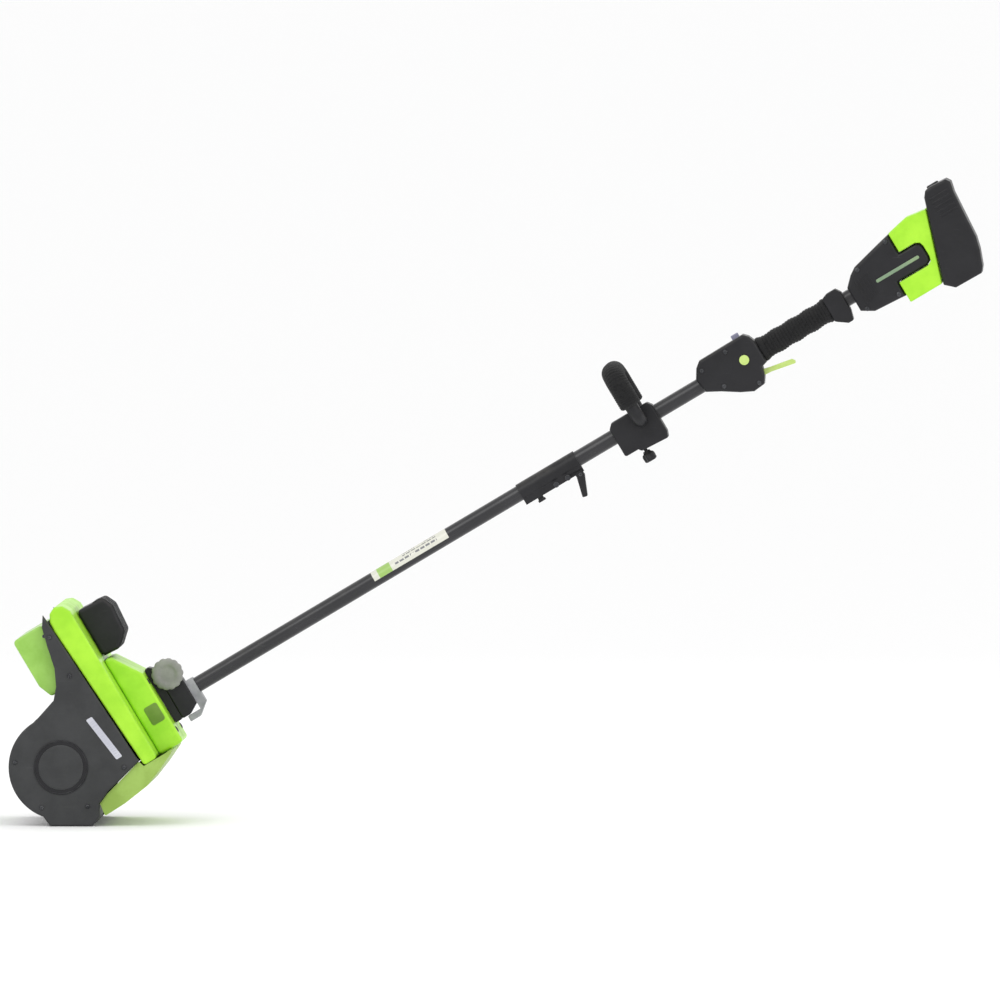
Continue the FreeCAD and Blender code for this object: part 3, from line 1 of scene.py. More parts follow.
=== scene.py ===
import bpy
import json
import math
import numpy as np
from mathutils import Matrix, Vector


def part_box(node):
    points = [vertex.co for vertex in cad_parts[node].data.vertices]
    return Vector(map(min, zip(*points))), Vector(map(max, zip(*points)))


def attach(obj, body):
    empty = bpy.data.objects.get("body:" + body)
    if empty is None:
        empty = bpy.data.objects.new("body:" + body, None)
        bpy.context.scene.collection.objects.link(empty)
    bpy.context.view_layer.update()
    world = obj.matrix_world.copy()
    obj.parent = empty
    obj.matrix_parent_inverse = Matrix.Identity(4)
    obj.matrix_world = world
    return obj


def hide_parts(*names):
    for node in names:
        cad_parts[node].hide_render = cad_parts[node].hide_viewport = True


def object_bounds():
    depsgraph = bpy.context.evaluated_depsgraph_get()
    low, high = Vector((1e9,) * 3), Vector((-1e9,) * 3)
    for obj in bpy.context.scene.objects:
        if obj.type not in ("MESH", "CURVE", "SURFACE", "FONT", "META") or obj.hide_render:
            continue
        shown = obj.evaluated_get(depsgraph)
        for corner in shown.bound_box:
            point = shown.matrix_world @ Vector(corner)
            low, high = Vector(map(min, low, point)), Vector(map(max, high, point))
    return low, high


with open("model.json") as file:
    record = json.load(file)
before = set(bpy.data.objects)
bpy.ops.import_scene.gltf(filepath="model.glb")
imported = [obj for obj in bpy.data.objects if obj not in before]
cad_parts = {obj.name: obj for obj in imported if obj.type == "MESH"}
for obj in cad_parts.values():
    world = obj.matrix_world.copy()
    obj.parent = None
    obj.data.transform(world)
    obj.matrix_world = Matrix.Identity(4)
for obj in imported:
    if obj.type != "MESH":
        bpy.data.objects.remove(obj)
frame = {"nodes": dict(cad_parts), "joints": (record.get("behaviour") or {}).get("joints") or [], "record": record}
cadLow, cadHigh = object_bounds()
nodes = frame["nodes"]
joints = {joint["name"]: joint for joint in frame["joints"]}
print("frame loaded:", len(nodes), "nodes")

# ---- places: the pole frame is along the pole, across it and up from it, in millimetres
rotorAt = np.array(joints["rotor_spin"]["pos_m"])
poleWay = -np.array(joints["attachment_slide"]["axis"])
poleWay /= np.linalg.norm(poleWay)
sideWay = np.array([0.0, 1.0, 0.0])
upWay = np.array([-poleWay[2], 0.0, poleWay[0]])


def onPole(along, across, up):
    # place = rotor axis + along * pole way + across * side way + up * the way square to both
    along, across, up = np.broadcast_arrays(along, across, up)
    steps = along[..., None] * poleWay + across[..., None] * sideWay + up[..., None] * upWay
    return rotorAt + steps / 1000


def poleSpan(name):
    # lowest and highest (along, across, up) of a CAD node, from its own vertices
    mesh = nodes[name].data
    places = np.empty(len(mesh.vertices) * 3)
    mesh.vertices.foreach_get("co", places)
    steps = (places.reshape(-1, 3) - rotorAt) * 1000
    spans = np.stack([steps @ poleWay, steps @ sideWay, steps @ upWay], axis=1)
    return spans.min(axis=0), spans.max(axis=0)


# ---- camera, lights and floor
studio = dict(turn=2.5, rise=2.5, distance=40.0, imageWidth=1.62, sensor=36, aimShift=0.003, farEnd=400.0,
              worldGlow=1.04, floorSize=120.0, floorDrop=0.0005, floorShade=(0.94, 0.94, 0.94))
lamps = dict(keyLight=dict(place=(-0.9, -3.0, 3.2), size=2.2, power=34),
             fillLight=dict(place=(3.2, -2.2, 1.8), size=2.5, power=12),
             backLight=dict(place=(0.6, 3.0, 3.0), size=2.0, power=20))


def makeCamera(aim):
    # camera place = aim + distance * (sin turn cos rise, -cos turn cos rise, sin rise)
    turn, rise = math.radians(studio["turn"]), math.radians(studio["rise"])
    back = np.array([math.sin(turn) * math.cos(rise), -math.cos(turn) * math.cos(rise), math.sin(rise)])
    data = bpy.data.cameras.new("studioCamera")
    data.sensor_width = studio["sensor"]
    data.lens = data.sensor_width * studio["distance"] / studio["imageWidth"]
    data.clip_end = studio["farEnd"]
    camera = bpy.data.objects.new("studioCamera", data)
    camera.location = aim + back * studio["distance"]
    camera.rotation_euler = (math.pi / 2 - rise, 0, turn)
    bpy.context.scene.collection.objects.link(camera)
    bpy.context.scene.camera = camera


def makeLights(aim):
    # an even white world, and three soft lamps turned to the aim
    world = bpy.data.worlds.new("studioWorld")
    world.use_nodes = True
    glow = world.node_tree.nodes["Background"].inputs
    glow["Color"].default_value = (1, 1, 1, 1)
    glow["Strength"].default_value = studio["worldGlow"]
    bpy.context.scene.world = world
    bpy.context.scene.view_settings.view_transform = "Standard"
    for name, lamp in lamps.items():
        data = bpy.data.lights.new(name, "AREA")
        data.size = lamp["size"]
        data.energy = lamp["power"]
        holder = bpy.data.objects.new(name, data)
        holder.location = lamp["place"]
        way = aim - np.array(lamp["place"])
        holder.rotation_euler = (math.atan2(math.hypot(way[0], way[1]), -way[2]), 0,
                                 math.atan2(way[1], way[0]) - math.pi / 2)
        bpy.context.scene.collection.objects.link(holder)


def makeFloor():
    half = studio["floorSize"]
    mesh = bpy.data.meshes.new("floor")
    corners = [(-half, -half, 0), (half, -half, 0), (half, half, 0), (-half, half, 0)]
    mesh.from_pydata(corners, [], [(0, 1, 2, 3)])
    floor = bpy.data.objects.new("floor", mesh)
    floor.location.z = -studio["floorDrop"]
    bpy.context.scene.collection.objects.link(floor)
    material = bpy.data.materials.new("floorPaper")
    material.use_nodes = True
    shader = material.node_tree.nodes["Principled BSDF"]
    shader.inputs["Base Color"].default_value = (*studio["floorShade"], 1)
    shader.inputs["Roughness"].default_value = 0.9
    shader.inputs["Specular IOR Level"].default_value = 0.1
    mesh.materials.append(material)


aimPoint = np.array([(cadLow.x + cadHigh.x) / 2 + studio["aimShift"], 0.0, (cadLow.z + cadHigh.z) / 2])
makeCamera(aimPoint)
makeLights(aimPoint)
makeFloor()
print("studio ready")


# ---- node helpers
def linear(colour):
    # screen colour 0..255 to linear light: ((c + 0.055) / 1.055) ** 2.4 above the toe, c / 12.92 below it
    share = np.array(colour, float) / 255
    value = np.where(share > 0.04045, ((share + 0.055) / 1.055) ** 2.4, share / 12.92)
    return (*value.tolist(), 1.0)


def addNode(tree, kind, **settings):
    made = tree.nodes.new(kind)
    for key, value in settings.items():
        setattr(made, key, value)
    return made


def feed(tree, socket, value):
    # a socket takes either a link or a plain value
    if isinstance(value, bpy.types.NodeSocket):
        tree.links.new(value, socket)
    else:
        socket.default_value = value


def calc(tree, operation, *values, clamp=False):
    made = addNode(tree, "ShaderNodeMath", operation=operation, use_clamp=clamp)
    for socket, value in zip(made.inputs, values):
        feed(tree, socket, value)
    return made.outputs[0]


def vectorCalc(tree, operation, *values):
    made = addNode(tree, "ShaderNodeVectorMath", operation=operation)
    for socket, value in zip(made.inputs, values):
        feed(tree, socket, value)
    return made.outputs["Value" if operation == "DOT_PRODUCT" else "Vector"]


def noise(tree, place, scale, detail=2.0, roughness=0.5):
    made = addNode(tree, "ShaderNodeTexNoise")
    feed(tree, made.inputs["Vector"], place)
    feed(tree, made.inputs["Scale"], scale)
    made.inputs["Detail"].default_value = detail
    made.inputs["Roughness"].default_value = roughness
    return made.outputs["Fac"]


def ramp(tree, value, low, high, first=0.0, last=1.0):
    made = addNode(tree, "ShaderNodeMapRange", interpolation_type="SMOOTHSTEP")
    feed(tree, made.inputs["Value"], value)
    made.inputs["From Min"].default_value = low
    made.inputs["From Max"].default_value = high
    made.inputs["To Min"].default_value = first
    made.inputs["To Max"].default_value = last
    return made.outputs["Result"]


def mixColour(tree, share, first, second):
    made = addNode(tree, "ShaderNodeMix", data_type="RGBA")
    feed(tree, made.inputs[0], share)
    feed(tree, made.inputs[6], first)
    feed(tree, made.inputs[7], second)
    return made.outputs[2]


def startGroup(name, inputs, outputs):
    tree = bpy.data.node_groups.new(name, "ShaderNodeTree")
    for label, kind, value in inputs:
        socket = tree.interface.new_socket(label, in_out="INPUT", socket_type=kind)
        if value is not None:
            socket.default_value = value
    for label in outputs:
        tree.interface.new_socket(label, in_out="OUTPUT", socket_type="NodeSocketFloat")
    return tree, tree.nodes.new("NodeGroupInput").outputs, tree.nodes.new("NodeGroupOutput").inputs


def useGroup(tree, group, **values):
    made = addNode(tree, "ShaderNodeGroup", node_tree=group)
    for label, value in values.items():
        feed(tree, made.inputs[label], value)
    return made.outputs


# ---- shared effects: scales are repeats per metre, spans are where a mask starts and ends
grainShape = dict(coarser=0.27, fineShare=0.65, blotchScale=19.0, blotchSpan=(0.32, 0.68))


def buildMouldGrain():
    # fine spark-eroded texture as a height, and wide soft blotches as a mask
    inputs = [("Place", "NodeSocketVector", None), ("Fineness", "NodeSocketFloat", 1400.0)]
    tree, given, result = startGroup("mouldGrain", inputs, ["Height", "Blotch"])
    fine = noise(tree, given["Place"], given["Fineness"], 3.0, 0.6)
    coarser = calc(tree, "MULTIPLY", given["Fineness"], grainShape["coarser"])
    coarse = noise(tree, given["Place"], coarser, 2.0)
    coarseShare = calc(tree, "MULTIPLY", coarse, 1 - grainShape["fineShare"])
    height = calc(tree, "MULTIPLY_ADD", fine, grainShape["fineShare"], coarseShare)
    tree.links.new(height, result["Height"])
    blotch = noise(tree, given["Place"], grainShape["blotchScale"], 5.0, 0.62)
    tree.links.new(ramp(tree, blotch, *grainShape["blotchSpan"]), result["Blotch"])
    return tree


wearShape = dict(reach=0.0012, edgeSpan=(0.015, 0.16), patchScale=85.0, patchSpan=(0.40, 0.62))


def buildEdgeWear():
    # edges are where a rounded normal leaves the true one; noise breaks the band up
    inputs = [("Place", "NodeSocketVector", None), ("Reach", "NodeSocketFloat", wearShape["reach"])]
    tree, given, result = startGroup("edgeWear", inputs, ["Worn"])
    soft = addNode(tree, "ShaderNodeBevel", samples=4)
    tree.links.new(given["Reach"], soft.inputs["Radius"])
    true = addNode(tree, "ShaderNodeNewGeometry")
    alike = vectorCalc(tree, "DOT_PRODUCT", soft.outputs["Normal"], true.outputs["Normal"])
    edge = ramp(tree, calc(tree, "SUBTRACT", 1.0, alike), *wearShape["edgeSpan"])
    patches = noise(tree, given["Place"], wearShape["patchScale"], 4.0, 0.7)
    broken = ramp(tree, patches, *wearShape["patchSpan"])
    tree.links.new(calc(tree, "MULTIPLY", edge, broken), result["Worn"])
    return tree


dustShape = dict(slopeSpan=(-0.1, 0.95), patchScale=34.0, patchSpan=(0.38, 0.75), speckScale=900.0,
                 speckSpan=(0.56, 0.7), speckShare=0.45)


def buildDust():
    # dust lies where the surface looks up, in drifting patches
    tree, given, result = startGroup("settledDust", [("Place", "NodeSocketVector", None)], ["Dust"])
    true = addNode(tree, "ShaderNodeNewGeometry")
    apart = addNode(tree, "ShaderNodeSeparateXYZ")
    tree.links.new(true.outputs["Normal"], apart.inputs[0])
    upward = ramp(tree, apart.outputs["Z"], *dustShape["slopeSpan"])
    patches = noise(tree, given["Place"], dustShape["patchScale"], 6.0, 0.7)
    patches = ramp(tree, patches, *dustShape["patchSpan"])
    specks = noise(tree, given["Place"], dustShape["speckScale"], 2.0, 0.5)
    specks = ramp(tree, specks, *dustShape["speckSpan"])
    lying = calc(tree, "MULTIPLY_ADD", specks, dustShape["speckShare"], patches)
    tree.links.new(calc(tree, "MULTIPLY", upward, lying, clamp=True), result["Dust"])
    return tree


scratchShape = dict(lays=(((0.4, 0.9, 0.3), (22, 900, 900)), ((1.2, -0.5, 0.8), (900, 30, 900))),
                    lineSpan=(0.69, 0.76), patchScale=26.0, patchSpan=(0.45, 0.62))


def buildScratches():
    # two sets of long thin noise, cut high so that only hairlines are left
    tree, given, result = startGroup("hairScratches", [("Place", "NodeSocketVector", None)], ["Scratch"])
    lines = []
    for turn, stretch in scratchShape["lays"]:
        lay = addNode(tree, "ShaderNodeMapping")
        tree.links.new(given["Place"], lay.inputs["Vector"])
        lay.inputs["Rotation"].default_value = turn
        lay.inputs["Scale"].default_value = stretch
        lines.append(ramp(tree, noise(tree, lay.outputs["Vector"], 1.0, 1.0), *scratchShape["lineSpan"]))
    patches = noise(tree, given["Place"], scratchShape["patchScale"], 3.0)
    broken = ramp(tree, patches, *scratchShape["patchSpan"])
    both = calc(tree, "MAXIMUM", lines[0], lines[1])
    tree.links.new(calc(tree, "MULTIPLY", both, broken), result["Scratch"])
    return tree


foamShape = dict(wallSpan=(0.05, 0.6), pitScale=210.0, pitSpan=(0.5, 0.7))


def buildFoam():
    # closed cells: a Voronoi distance, deeper at the cell walls
    inputs = [("Place", "NodeSocketVector", None), ("Cells", "NodeSocketFloat", 620.0)]
    tree, given, result = startGroup("foamCells", inputs, ["Height", "Pit"])
    cells = addNode(tree, "ShaderNodeTexVoronoi")
    tree.links.new(given["Place"], cells.inputs["Vector"])
    tree.links.new(given["Cells"], cells.inputs["Scale"])
    tree.links.new(ramp(tree, cells.outputs["Distance"], *foamShape["wallSpan"], 1.0, 0.0), result["Height"])
    pits = noise(tree, given["Place"], foamShape["pitScale"], 4.0, 0.7)
    tree.links.new(ramp(tree, pits, *foamShape["pitSpan"]), result["Pit"])
    return tree


def buildPoleLay():
    # the place turned to the pole frame, in metres: along, across, up
    tree = bpy.data.node_groups.new("poleLay", "ShaderNodeTree")
    tree.interface.new_socket("Place", in_out="INPUT", socket_type="NodeSocketVector")
    tree.interface.new_socket("Lay", in_out="OUTPUT", socket_type="NodeSocketVector")
    given = tree.nodes.new("NodeGroupInput").outputs
    result = tree.nodes.new("NodeGroupOutput").inputs
    shifted = vectorCalc(tree, "SUBTRACT", given["Place"], tuple(rotorAt))
    joined = addNode(tree, "ShaderNodeCombineXYZ")
    for socket, way in zip(joined.inputs, (poleWay, sideWay, upWay)):
        tree.links.new(vectorCalc(tree, "DOT_PRODUCT", shifted, tuple(way)), socket)
    tree.links.new(joined.outputs[0], result["Lay"])
    return tree


mouldGrain = buildMouldGrain()
edgeWear = buildEdgeWear()
settledDust = buildDust()
hairScratches = buildScratches()
foamCells = buildFoam()
poleLay = buildPoleLay()
print("shared effects ready")


# ---- materials
looks = dict(
    lime_plastic=dict(colour=(168, 227, 50), shade=(152, 214, 38), rough=0.36, grain=1500, depth=0.00006,
                      wearColour=(200, 240, 120), wear=0.55, dust=0.10, scratch=0.25, coat=0.15),
    # deflector_plastic: a darker pale green with painted shade in it, for the vane that sits in shade inside the
    # housing
    deflector_plastic=dict(colour=(156, 204, 94), shade=(138, 188, 74), rough=0.32, grain=1500,
                           depth=0.00005, wearColour=(190, 232, 150), wear=0.5, dust=0.08, scratch=0.3,
                           coat=0.2),
    # olive_plastic: the lime housing plastic painted darker, as painted shade on the downward-facing rear strip
    olive_plastic=dict(colour=(156, 188, 92), shade=(138, 168, 74), rough=0.45, grain=1300, depth=0.00008,
                       wearColour=(196, 220, 150), wear=0.5, dust=0.14, scratch=0.3, coat=0.0),
    charcoal_plastic=dict(colour=(56, 57, 58), shade=(48, 49, 50), rough=0.48, grain=1150, depth=0.00010,
                          wearColour=(112, 112, 114), wear=0.6, dust=0.10, scratch=0.5, coat=0.0),
    black_plastic=dict(colour=(29, 29, 32), shade=(22, 22, 25), rough=0.42, grain=1250, depth=0.00009,
                       wearColour=(88, 88, 92), wear=0.55, dust=0.08, scratch=0.45, coat=0.0),
    pole_coating=dict(colour=(38, 38, 41), shade=(29, 29, 32), rough=0.30, grain=2600, depth=0.00003,
                      wearColour=(120, 120, 122), wear=0.4, dust=0.05, scratch=0.6, coat=0.35, streak=0.3),
    plate_steel=dict(colour=(88, 89, 90), shade=(70, 71, 73), rough=0.38, grain=900, depth=0.00003,
                     metallic=0.8, wearColour=(170, 170, 170), wear=0.7, dust=0.08, scratch=0.6, streak=0.4),
    shaft_steel=dict(colour=(176, 177, 180), shade=(150, 151, 154), rough=0.24, grain=900, depth=0.00002,
                     metallic=1.0, wearColour=(215, 215, 215), wear=0.4, dust=0.0, scratch=0.4, streak=0.5),
    gear_steel=dict(colour=(120, 121, 124), shade=(92, 92, 94), rough=0.30, grain=800, depth=0.00003,
                    metallic=1.0, wearColour=(190, 190, 190), wear=0.8, dust=0.0, scratch=0.3, streak=0.3),
    cast_aluminium=dict(colour=(165, 166, 168), shade=(136, 137, 140), rough=0.5, grain=700, depth=0.00022,
                        metallic=0.9, wearColour=(215, 215, 217), wear=0.5, dust=0.05, scratch=0.2),
    paddle_rubber=dict(colour=(38, 38, 39), shade=(27, 27, 28), rough=0.66, grain=800, depth=0.00018,
                       wearColour=(86, 84, 80), wear=0.8, dust=0.28, scratch=0.5),
    belt_rubber=dict(colour=(32, 32, 33), shade=(24, 24, 25), rough=0.7, grain=900, depth=0.0001,
                     wearColour=(70, 70, 70), wear=0.4, dust=0.1, scratch=0.2),
    badge_plate=dict(colour=(206, 207, 214), shade=(176, 177, 190), rough=0.28, grain=1800, depth=0.00002,
                     metallic=0.35, wearColour=(240, 240, 240), wear=0.5, dust=0.05, scratch=0.4,
                     streak=0.35),
    button_green=dict(colour=(196, 218, 128), shade=(172, 200, 100), rough=0.34, grain=1500, depth=0.00006,
                      wearColour=(226, 240, 180), wear=0.5, dust=0.05, scratch=0.2, coat=0.2),
    switch_plastic=dict(colour=(150, 150, 172), shade=(128, 128, 150), rough=0.35, grain=1500, depth=0.00006,
                        wearColour=(196, 196, 210), wear=0.4, dust=0.05, scratch=0.2, coat=0.2),
    # olive_deep: darker green painted shade, used on the fairing side pads
    olive_deep=dict(colour=(116, 148, 62), shade=(98, 128, 48), rough=0.5, grain=1300, depth=0.00008,
                    wearColour=(170, 196, 120), wear=0.5, dust=0.12, scratch=0.3),
    inlay_plastic=dict(colour=(134, 156, 118), shade=(108, 134, 114), rough=0.36, grain=1500,
                       depth=0.00005, wearColour=(190, 204, 176), wear=0.4, dust=0.06, scratch=0.3,
                       coat=0.1),
    knob_plastic=dict(colour=(146, 147, 141), shade=(122, 123, 118), rough=0.44, grain=1200, depth=0.0001,
                      wearColour=(190, 190, 184), wear=0.6, dust=0.12, scratch=0.4),
    winding_copper=dict(colour=(184, 110, 62), shade=(130, 70, 36), rough=0.34, grain=1900, depth=0.0003,
                        metallic=0.9, wearColour=(210, 150, 100), wear=0.3, dust=0.0, scratch=0.1,
                        streak=0.6),
    electronics=dict(colour=(34, 92, 58), shade=(24, 70, 44), rough=0.4, grain=900, depth=0.0001,
                     wearColour=(110, 150, 110), wear=0.4, dust=0.0, scratch=0.3, coat=0.4),
    bush_plastic=dict(colour=(206, 204, 196), shade=(180, 178, 170), rough=0.5, grain=1200, depth=0.0001,
                      wearColour=(230, 230, 225), wear=0.3, dust=0.0, scratch=0.2),
    fastener_steel=dict(colour=(70, 71, 74), shade=(50, 51, 54), rough=0.34, grain=1500, depth=0.00004,
                        metallic=0.9, wearColour=(150, 150, 150), wear=0.9, dust=0.05, scratch=0.4),
)
finish = dict(scratchShow=0.35, dustColour=(186, 180, 166), toneRough=0.12, dustRough=0.8, wornRough=-0.08,
              scratchRough=0.3, scratchDip=-0.4, coatRough=0.22, metalSpecular=0.5, plasticSpecular=0.3,
              streakStretch=(9.0, 700.0, 700.0), streakSpan=(0.35, 0.65))
materials = {}


def dressMaterial(name, look):
    # colour: base to its shade by blotches, then worn edges, hair scratches and dust over it
    material = bpy.data.materials.new(name)
    material.use_nodes = True
    tree = material.node_tree
    shader = tree.nodes["Principled BSDF"]
    place = addNode(tree, "ShaderNodeTexCoord").outputs["Object"]
    grain = useGroup(tree, mouldGrain, Place=place, Fineness=float(look["grain"]))
    worn = useGroup(tree, edgeWear, Place=place)["Worn"]
    dust = useGroup(tree, settledDust, Place=place)["Dust"]
    scratch = useGroup(tree, hairScratches, Place=place)["Scratch"]

    tone = grain["Blotch"]
    if look.get("streak"):  # long streaks along the pole, from drawing or brushing
        lay = useGroup(tree, poleLay, Place=place)["Lay"]
        stretched = vectorCalc(tree, "MULTIPLY", lay, finish["streakStretch"])
        streak = ramp(tree, noise(tree, stretched, 1.0, 3.0, 0.6), *finish["streakSpan"])
        share = look["streak"]
        tone = calc(tree, "MULTIPLY_ADD", streak, share, calc(tree, "MULTIPLY", tone, 1 - share))
    colour = mixColour(tree, tone, linear(look["colour"]), linear(look["shade"]))
    wornShare = calc(tree, "MULTIPLY", worn, look["wear"])
    colour = mixColour(tree, wornShare, colour, linear(look["wearColour"]))
    scratchShare = calc(tree, "MULTIPLY", scratch, look["scratch"] * finish["scratchShow"])
    colour = mixColour(tree, scratchShare, colour, linear(look["wearColour"]))
    dustShare = calc(tree, "MULTIPLY", dust, look["dust"])
    colour = mixColour(tree, dustShare, colour, linear(finish["dustColour"]))
    tree.links.new(colour, shader.inputs["Base Color"])

    rough = calc(tree, "MULTIPLY_ADD", tone, finish["toneRough"], look["rough"] - finish["toneRough"] / 2)
    rough = calc(tree, "MULTIPLY_ADD", dustShare, finish["dustRough"], rough)
    rough = calc(tree, "MULTIPLY_ADD", wornShare, finish["wornRough"], rough)
    rough = calc(tree, "MULTIPLY_ADD", scratchShare, finish["scratchRough"], rough, clamp=True)
    tree.links.new(rough, shader.inputs["Roughness"])
    specular = finish["metalSpecular"] if look.get("metallic") else finish["plasticSpecular"]
    shader.inputs["Specular IOR Level"].default_value = specular
    shader.inputs["Metallic"].default_value = look.get("metallic", 0.0)
    shader.inputs["Coat Weight"].default_value = look.get("coat", 0.0)
    shader.inputs["Coat Roughness"].default_value = finish["coatRough"]
    height = calc(tree, "MULTIPLY_ADD", scratch, finish["scratchDip"], grain["Height"])
    bump = addNode(tree, "ShaderNodeBump")
    bump.inputs["Distance"].default_value = look["depth"]
    tree.links.new(height, bump.inputs["Height"])
    tree.links.new(bump.outputs["Normal"], shader.inputs["Normal"])
    materials[name] = material


for name, look in looks.items():
    dressMaterial(name, look)

foamLook = dict(colour=(25, 25, 26), pore=(16, 16, 17), dusty=(60, 59, 56), dust=0.16, cells=760.0,
                roughSpan=(0.74, 0.9), sheen=0.05, specular=0.25, depth=0.0005)


def dressFoam():
    # matt foam: cell walls stand out as height, pores darken it, dust greys its top
    material = bpy.data.materials.new("grip_foam")
    material.use_nodes = True
    tree = material.node_tree
    shader = tree.nodes["Principled BSDF"]
    place = addNode(tree, "ShaderNodeTexCoord").outputs["Object"]
    cells = useGroup(tree, foamCells, Place=place, Cells=foamLook["cells"])
    dust = useGroup(tree, settledDust, Place=place)["Dust"]
    colour = mixColour(tree, cells["Pit"], linear(foamLook["colour"]), linear(foamLook["pore"]))
    dustShare = calc(tree, "MULTIPLY", dust, foamLook["dust"])
    colour = mixColour(tree, dustShare, colour, linear(foamLook["dusty"]))
    tree.links.new(colour, shader.inputs["Base Color"])
    rough = ramp(tree, cells["Pit"], 0.0, 1.0, *foamLook["roughSpan"])
    tree.links.new(rough, shader.inputs["Roughness"])
    shader.inputs["Sheen Weight"].default_value = foamLook["sheen"]
    shader.inputs["Specular IOR Level"].default_value = foamLook["specular"]
    bump = addNode(tree, "ShaderNodeBump")
    bump.inputs["Distance"].default_value = foamLook["depth"]
    tree.links.new(cells["Height"], bump.inputs["Height"])
    tree.links.new(bump.outputs["Normal"], shader.inputs["Normal"])
    materials["grip_foam"] = material


dressFoam()

labelLook = dict(paper=(214, 214, 202), ink=(96, 98, 104), accent=(150, 190, 90), aged=(150, 148, 136),
                 rubbed=(170, 168, 158), agedShare=0.12, dashLength=0.0098, rowHeight=0.0034, gap=0.0011,
                 written=(0.30, 0.87), bar=(0.07, 0.25), fade=0.01, wordScale=60.0, wordSpan=(0.42, 0.46),
                 grain=2200.0, roughSpan=(0.26, 0.42), coat=0.4, depth=0.00004)


def dressLabel():
    # rows of plain grey dashes and one green bar on a pale film, laid out along the pole
    material = bpy.data.materials.new("label_film")
    material.use_nodes = True
    tree = material.node_tree
    shader = tree.nodes["Principled BSDF"]
    place = addNode(tree, "ShaderNodeTexCoord").outputs["Object"]
    lay = useGroup(tree, poleLay, Place=place)["Lay"]
    low, high = poleSpan("pole_label")
    start, length = low[0] / 1000, (high[0] - low[0]) / 1000
    apart = addNode(tree, "ShaderNodeSeparateXYZ")
    tree.links.new(lay, apart.inputs[0])
    along = calc(tree, "DIVIDE", calc(tree, "SUBTRACT", apart.outputs["X"], start), length)

    def between(span):
        # 1 between two shares of the label's length, fading to 0 outside them
        start, end, fade = span[0], span[1], labelLook["fade"]
        rising = ramp(tree, along, start, start + fade)
        falling = ramp(tree, along, end - fade, end, 1.0, 0.0)
        return calc(tree, "MULTIPLY", rising, falling)

    dashes = addNode(tree, "ShaderNodeTexBrick")
    tree.links.new(lay, dashes.inputs["Vector"])
    dashes.inputs["Scale"].default_value = 1.0
    dashes.inputs["Mortar Size"].default_value = labelLook["gap"]
    dashes.inputs["Brick Width"].default_value = labelLook["dashLength"]
    dashes.inputs["Row Height"].default_value = labelLook["rowHeight"]
    dashes.inputs["Color1"].default_value = (1, 1, 1, 1)
    dashes.inputs["Color2"].default_value = (1, 1, 1, 1)
    dashes.inputs["Mortar"].default_value = (0, 0, 0, 1)
    words = ramp(tree, noise(tree, lay, labelLook["wordScale"], 1.0), *labelLook["wordSpan"])
    inkPlace = calc(tree, "MULTIPLY", between(labelLook["written"]), words)
    inkShare = calc(tree, "MULTIPLY", dashes.outputs["Color"], inkPlace)
    worn = useGroup(tree, edgeWear, Place=place)["Worn"]
    grain = useGroup(tree, mouldGrain, Place=place, Fineness=labelLook["grain"])
    agedShare = calc(tree, "MULTIPLY", grain["Blotch"], labelLook["agedShare"])
    colour = mixColour(tree, inkShare, linear(labelLook["paper"]), linear(labelLook["ink"]))
    colour = mixColour(tree, between(labelLook["bar"]), colour, linear(labelLook["accent"]))
    colour = mixColour(tree, agedShare, colour, linear(labelLook["aged"]))
    colour = mixColour(tree, worn, colour, linear(labelLook["rubbed"]))
    tree.links.new(colour, shader.inputs["Base Color"])
    rough = ramp(tree, grain["Blotch"], 0.0, 1.0, *labelLook["roughSpan"])
    tree.links.new(rough, shader.inputs["Roughness"])
    shader.inputs["Coat Weight"].default_value = labelLook["coat"]
    bump = addNode(tree, "ShaderNodeBump")
    bump.inputs["Distance"].default_value = labelLook["depth"]
    tree.links.new(grain["Height"], bump.inputs["Height"])
    tree.links.new(bump.outputs["Normal"], shader.inputs["Normal"])
    materials["label_film"] = material


dressLabel()

for part in frame["record"]["subparts"]:
    holder = nodes[part["node"]]
    material = materials[part["material_slot"]]
    if not holder.material_slots:
        holder.data.materials.append(material)
    for slot in holder.material_slots:
        slot.material = material
print("materials on", len(nodes), "nodes")


# ---- surfaces
def surface(name, grids, material, body, caps=True, sharp=38, replaced=()):
    # each grid is rows of closed rings; quads join neighbours and a flat face closes both end rings
    points, faces, base = [], [], 0
    for grid in grids:
        rows, cols, _ = grid.shape
        index = base + np.arange(rows * cols).reshape(rows, cols)
        ahead = np.roll(index, -1, axis=1)
        quads = np.stack([index[:-1], ahead[:-1], ahead[1:], index[1:]], axis=-1).reshape(-1, 4)
        corner = grid.reshape(-1, 3)
        centre = corner.mean(axis=0)
        a, b, c, d = (corner[quads[:, k] - base] - centre for k in range(4))
        ends = [index[0][::-1].tolist(), index[-1].tolist()] if caps else []
        volume = np.einsum("ij,ij->i", a, np.cross(b, c) + np.cross(c, d)).sum()
        if caps:
            for ring in (grid[0][::-1] - centre, grid[-1] - centre):
                volume += np.einsum("ij,ij->i", ring[:1].repeat(cols - 2, axis=0),
                                    np.cross(ring[1:-1], ring[2:])).sum()
        if volume < 0:
            quads = quads[:, ::-1]
            ends = [end[::-1] for end in ends]
        points.append(corner)
        faces += quads.tolist() + ends
        base += rows * cols
    mesh = bpy.data.meshes.new(name)
    mesh.from_pydata(np.concatenate(points).tolist(), [], faces)
    mesh.shade_smooth()
    mesh.set_sharp_from_angle(angle=math.radians(sharp))
    mesh.materials.append(material)
    piece = bpy.data.objects.new(name, mesh)
    bpy.context.scene.collection.objects.link(piece)
    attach(piece, body)
    if replaced:
        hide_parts(*replaced)
    return piece


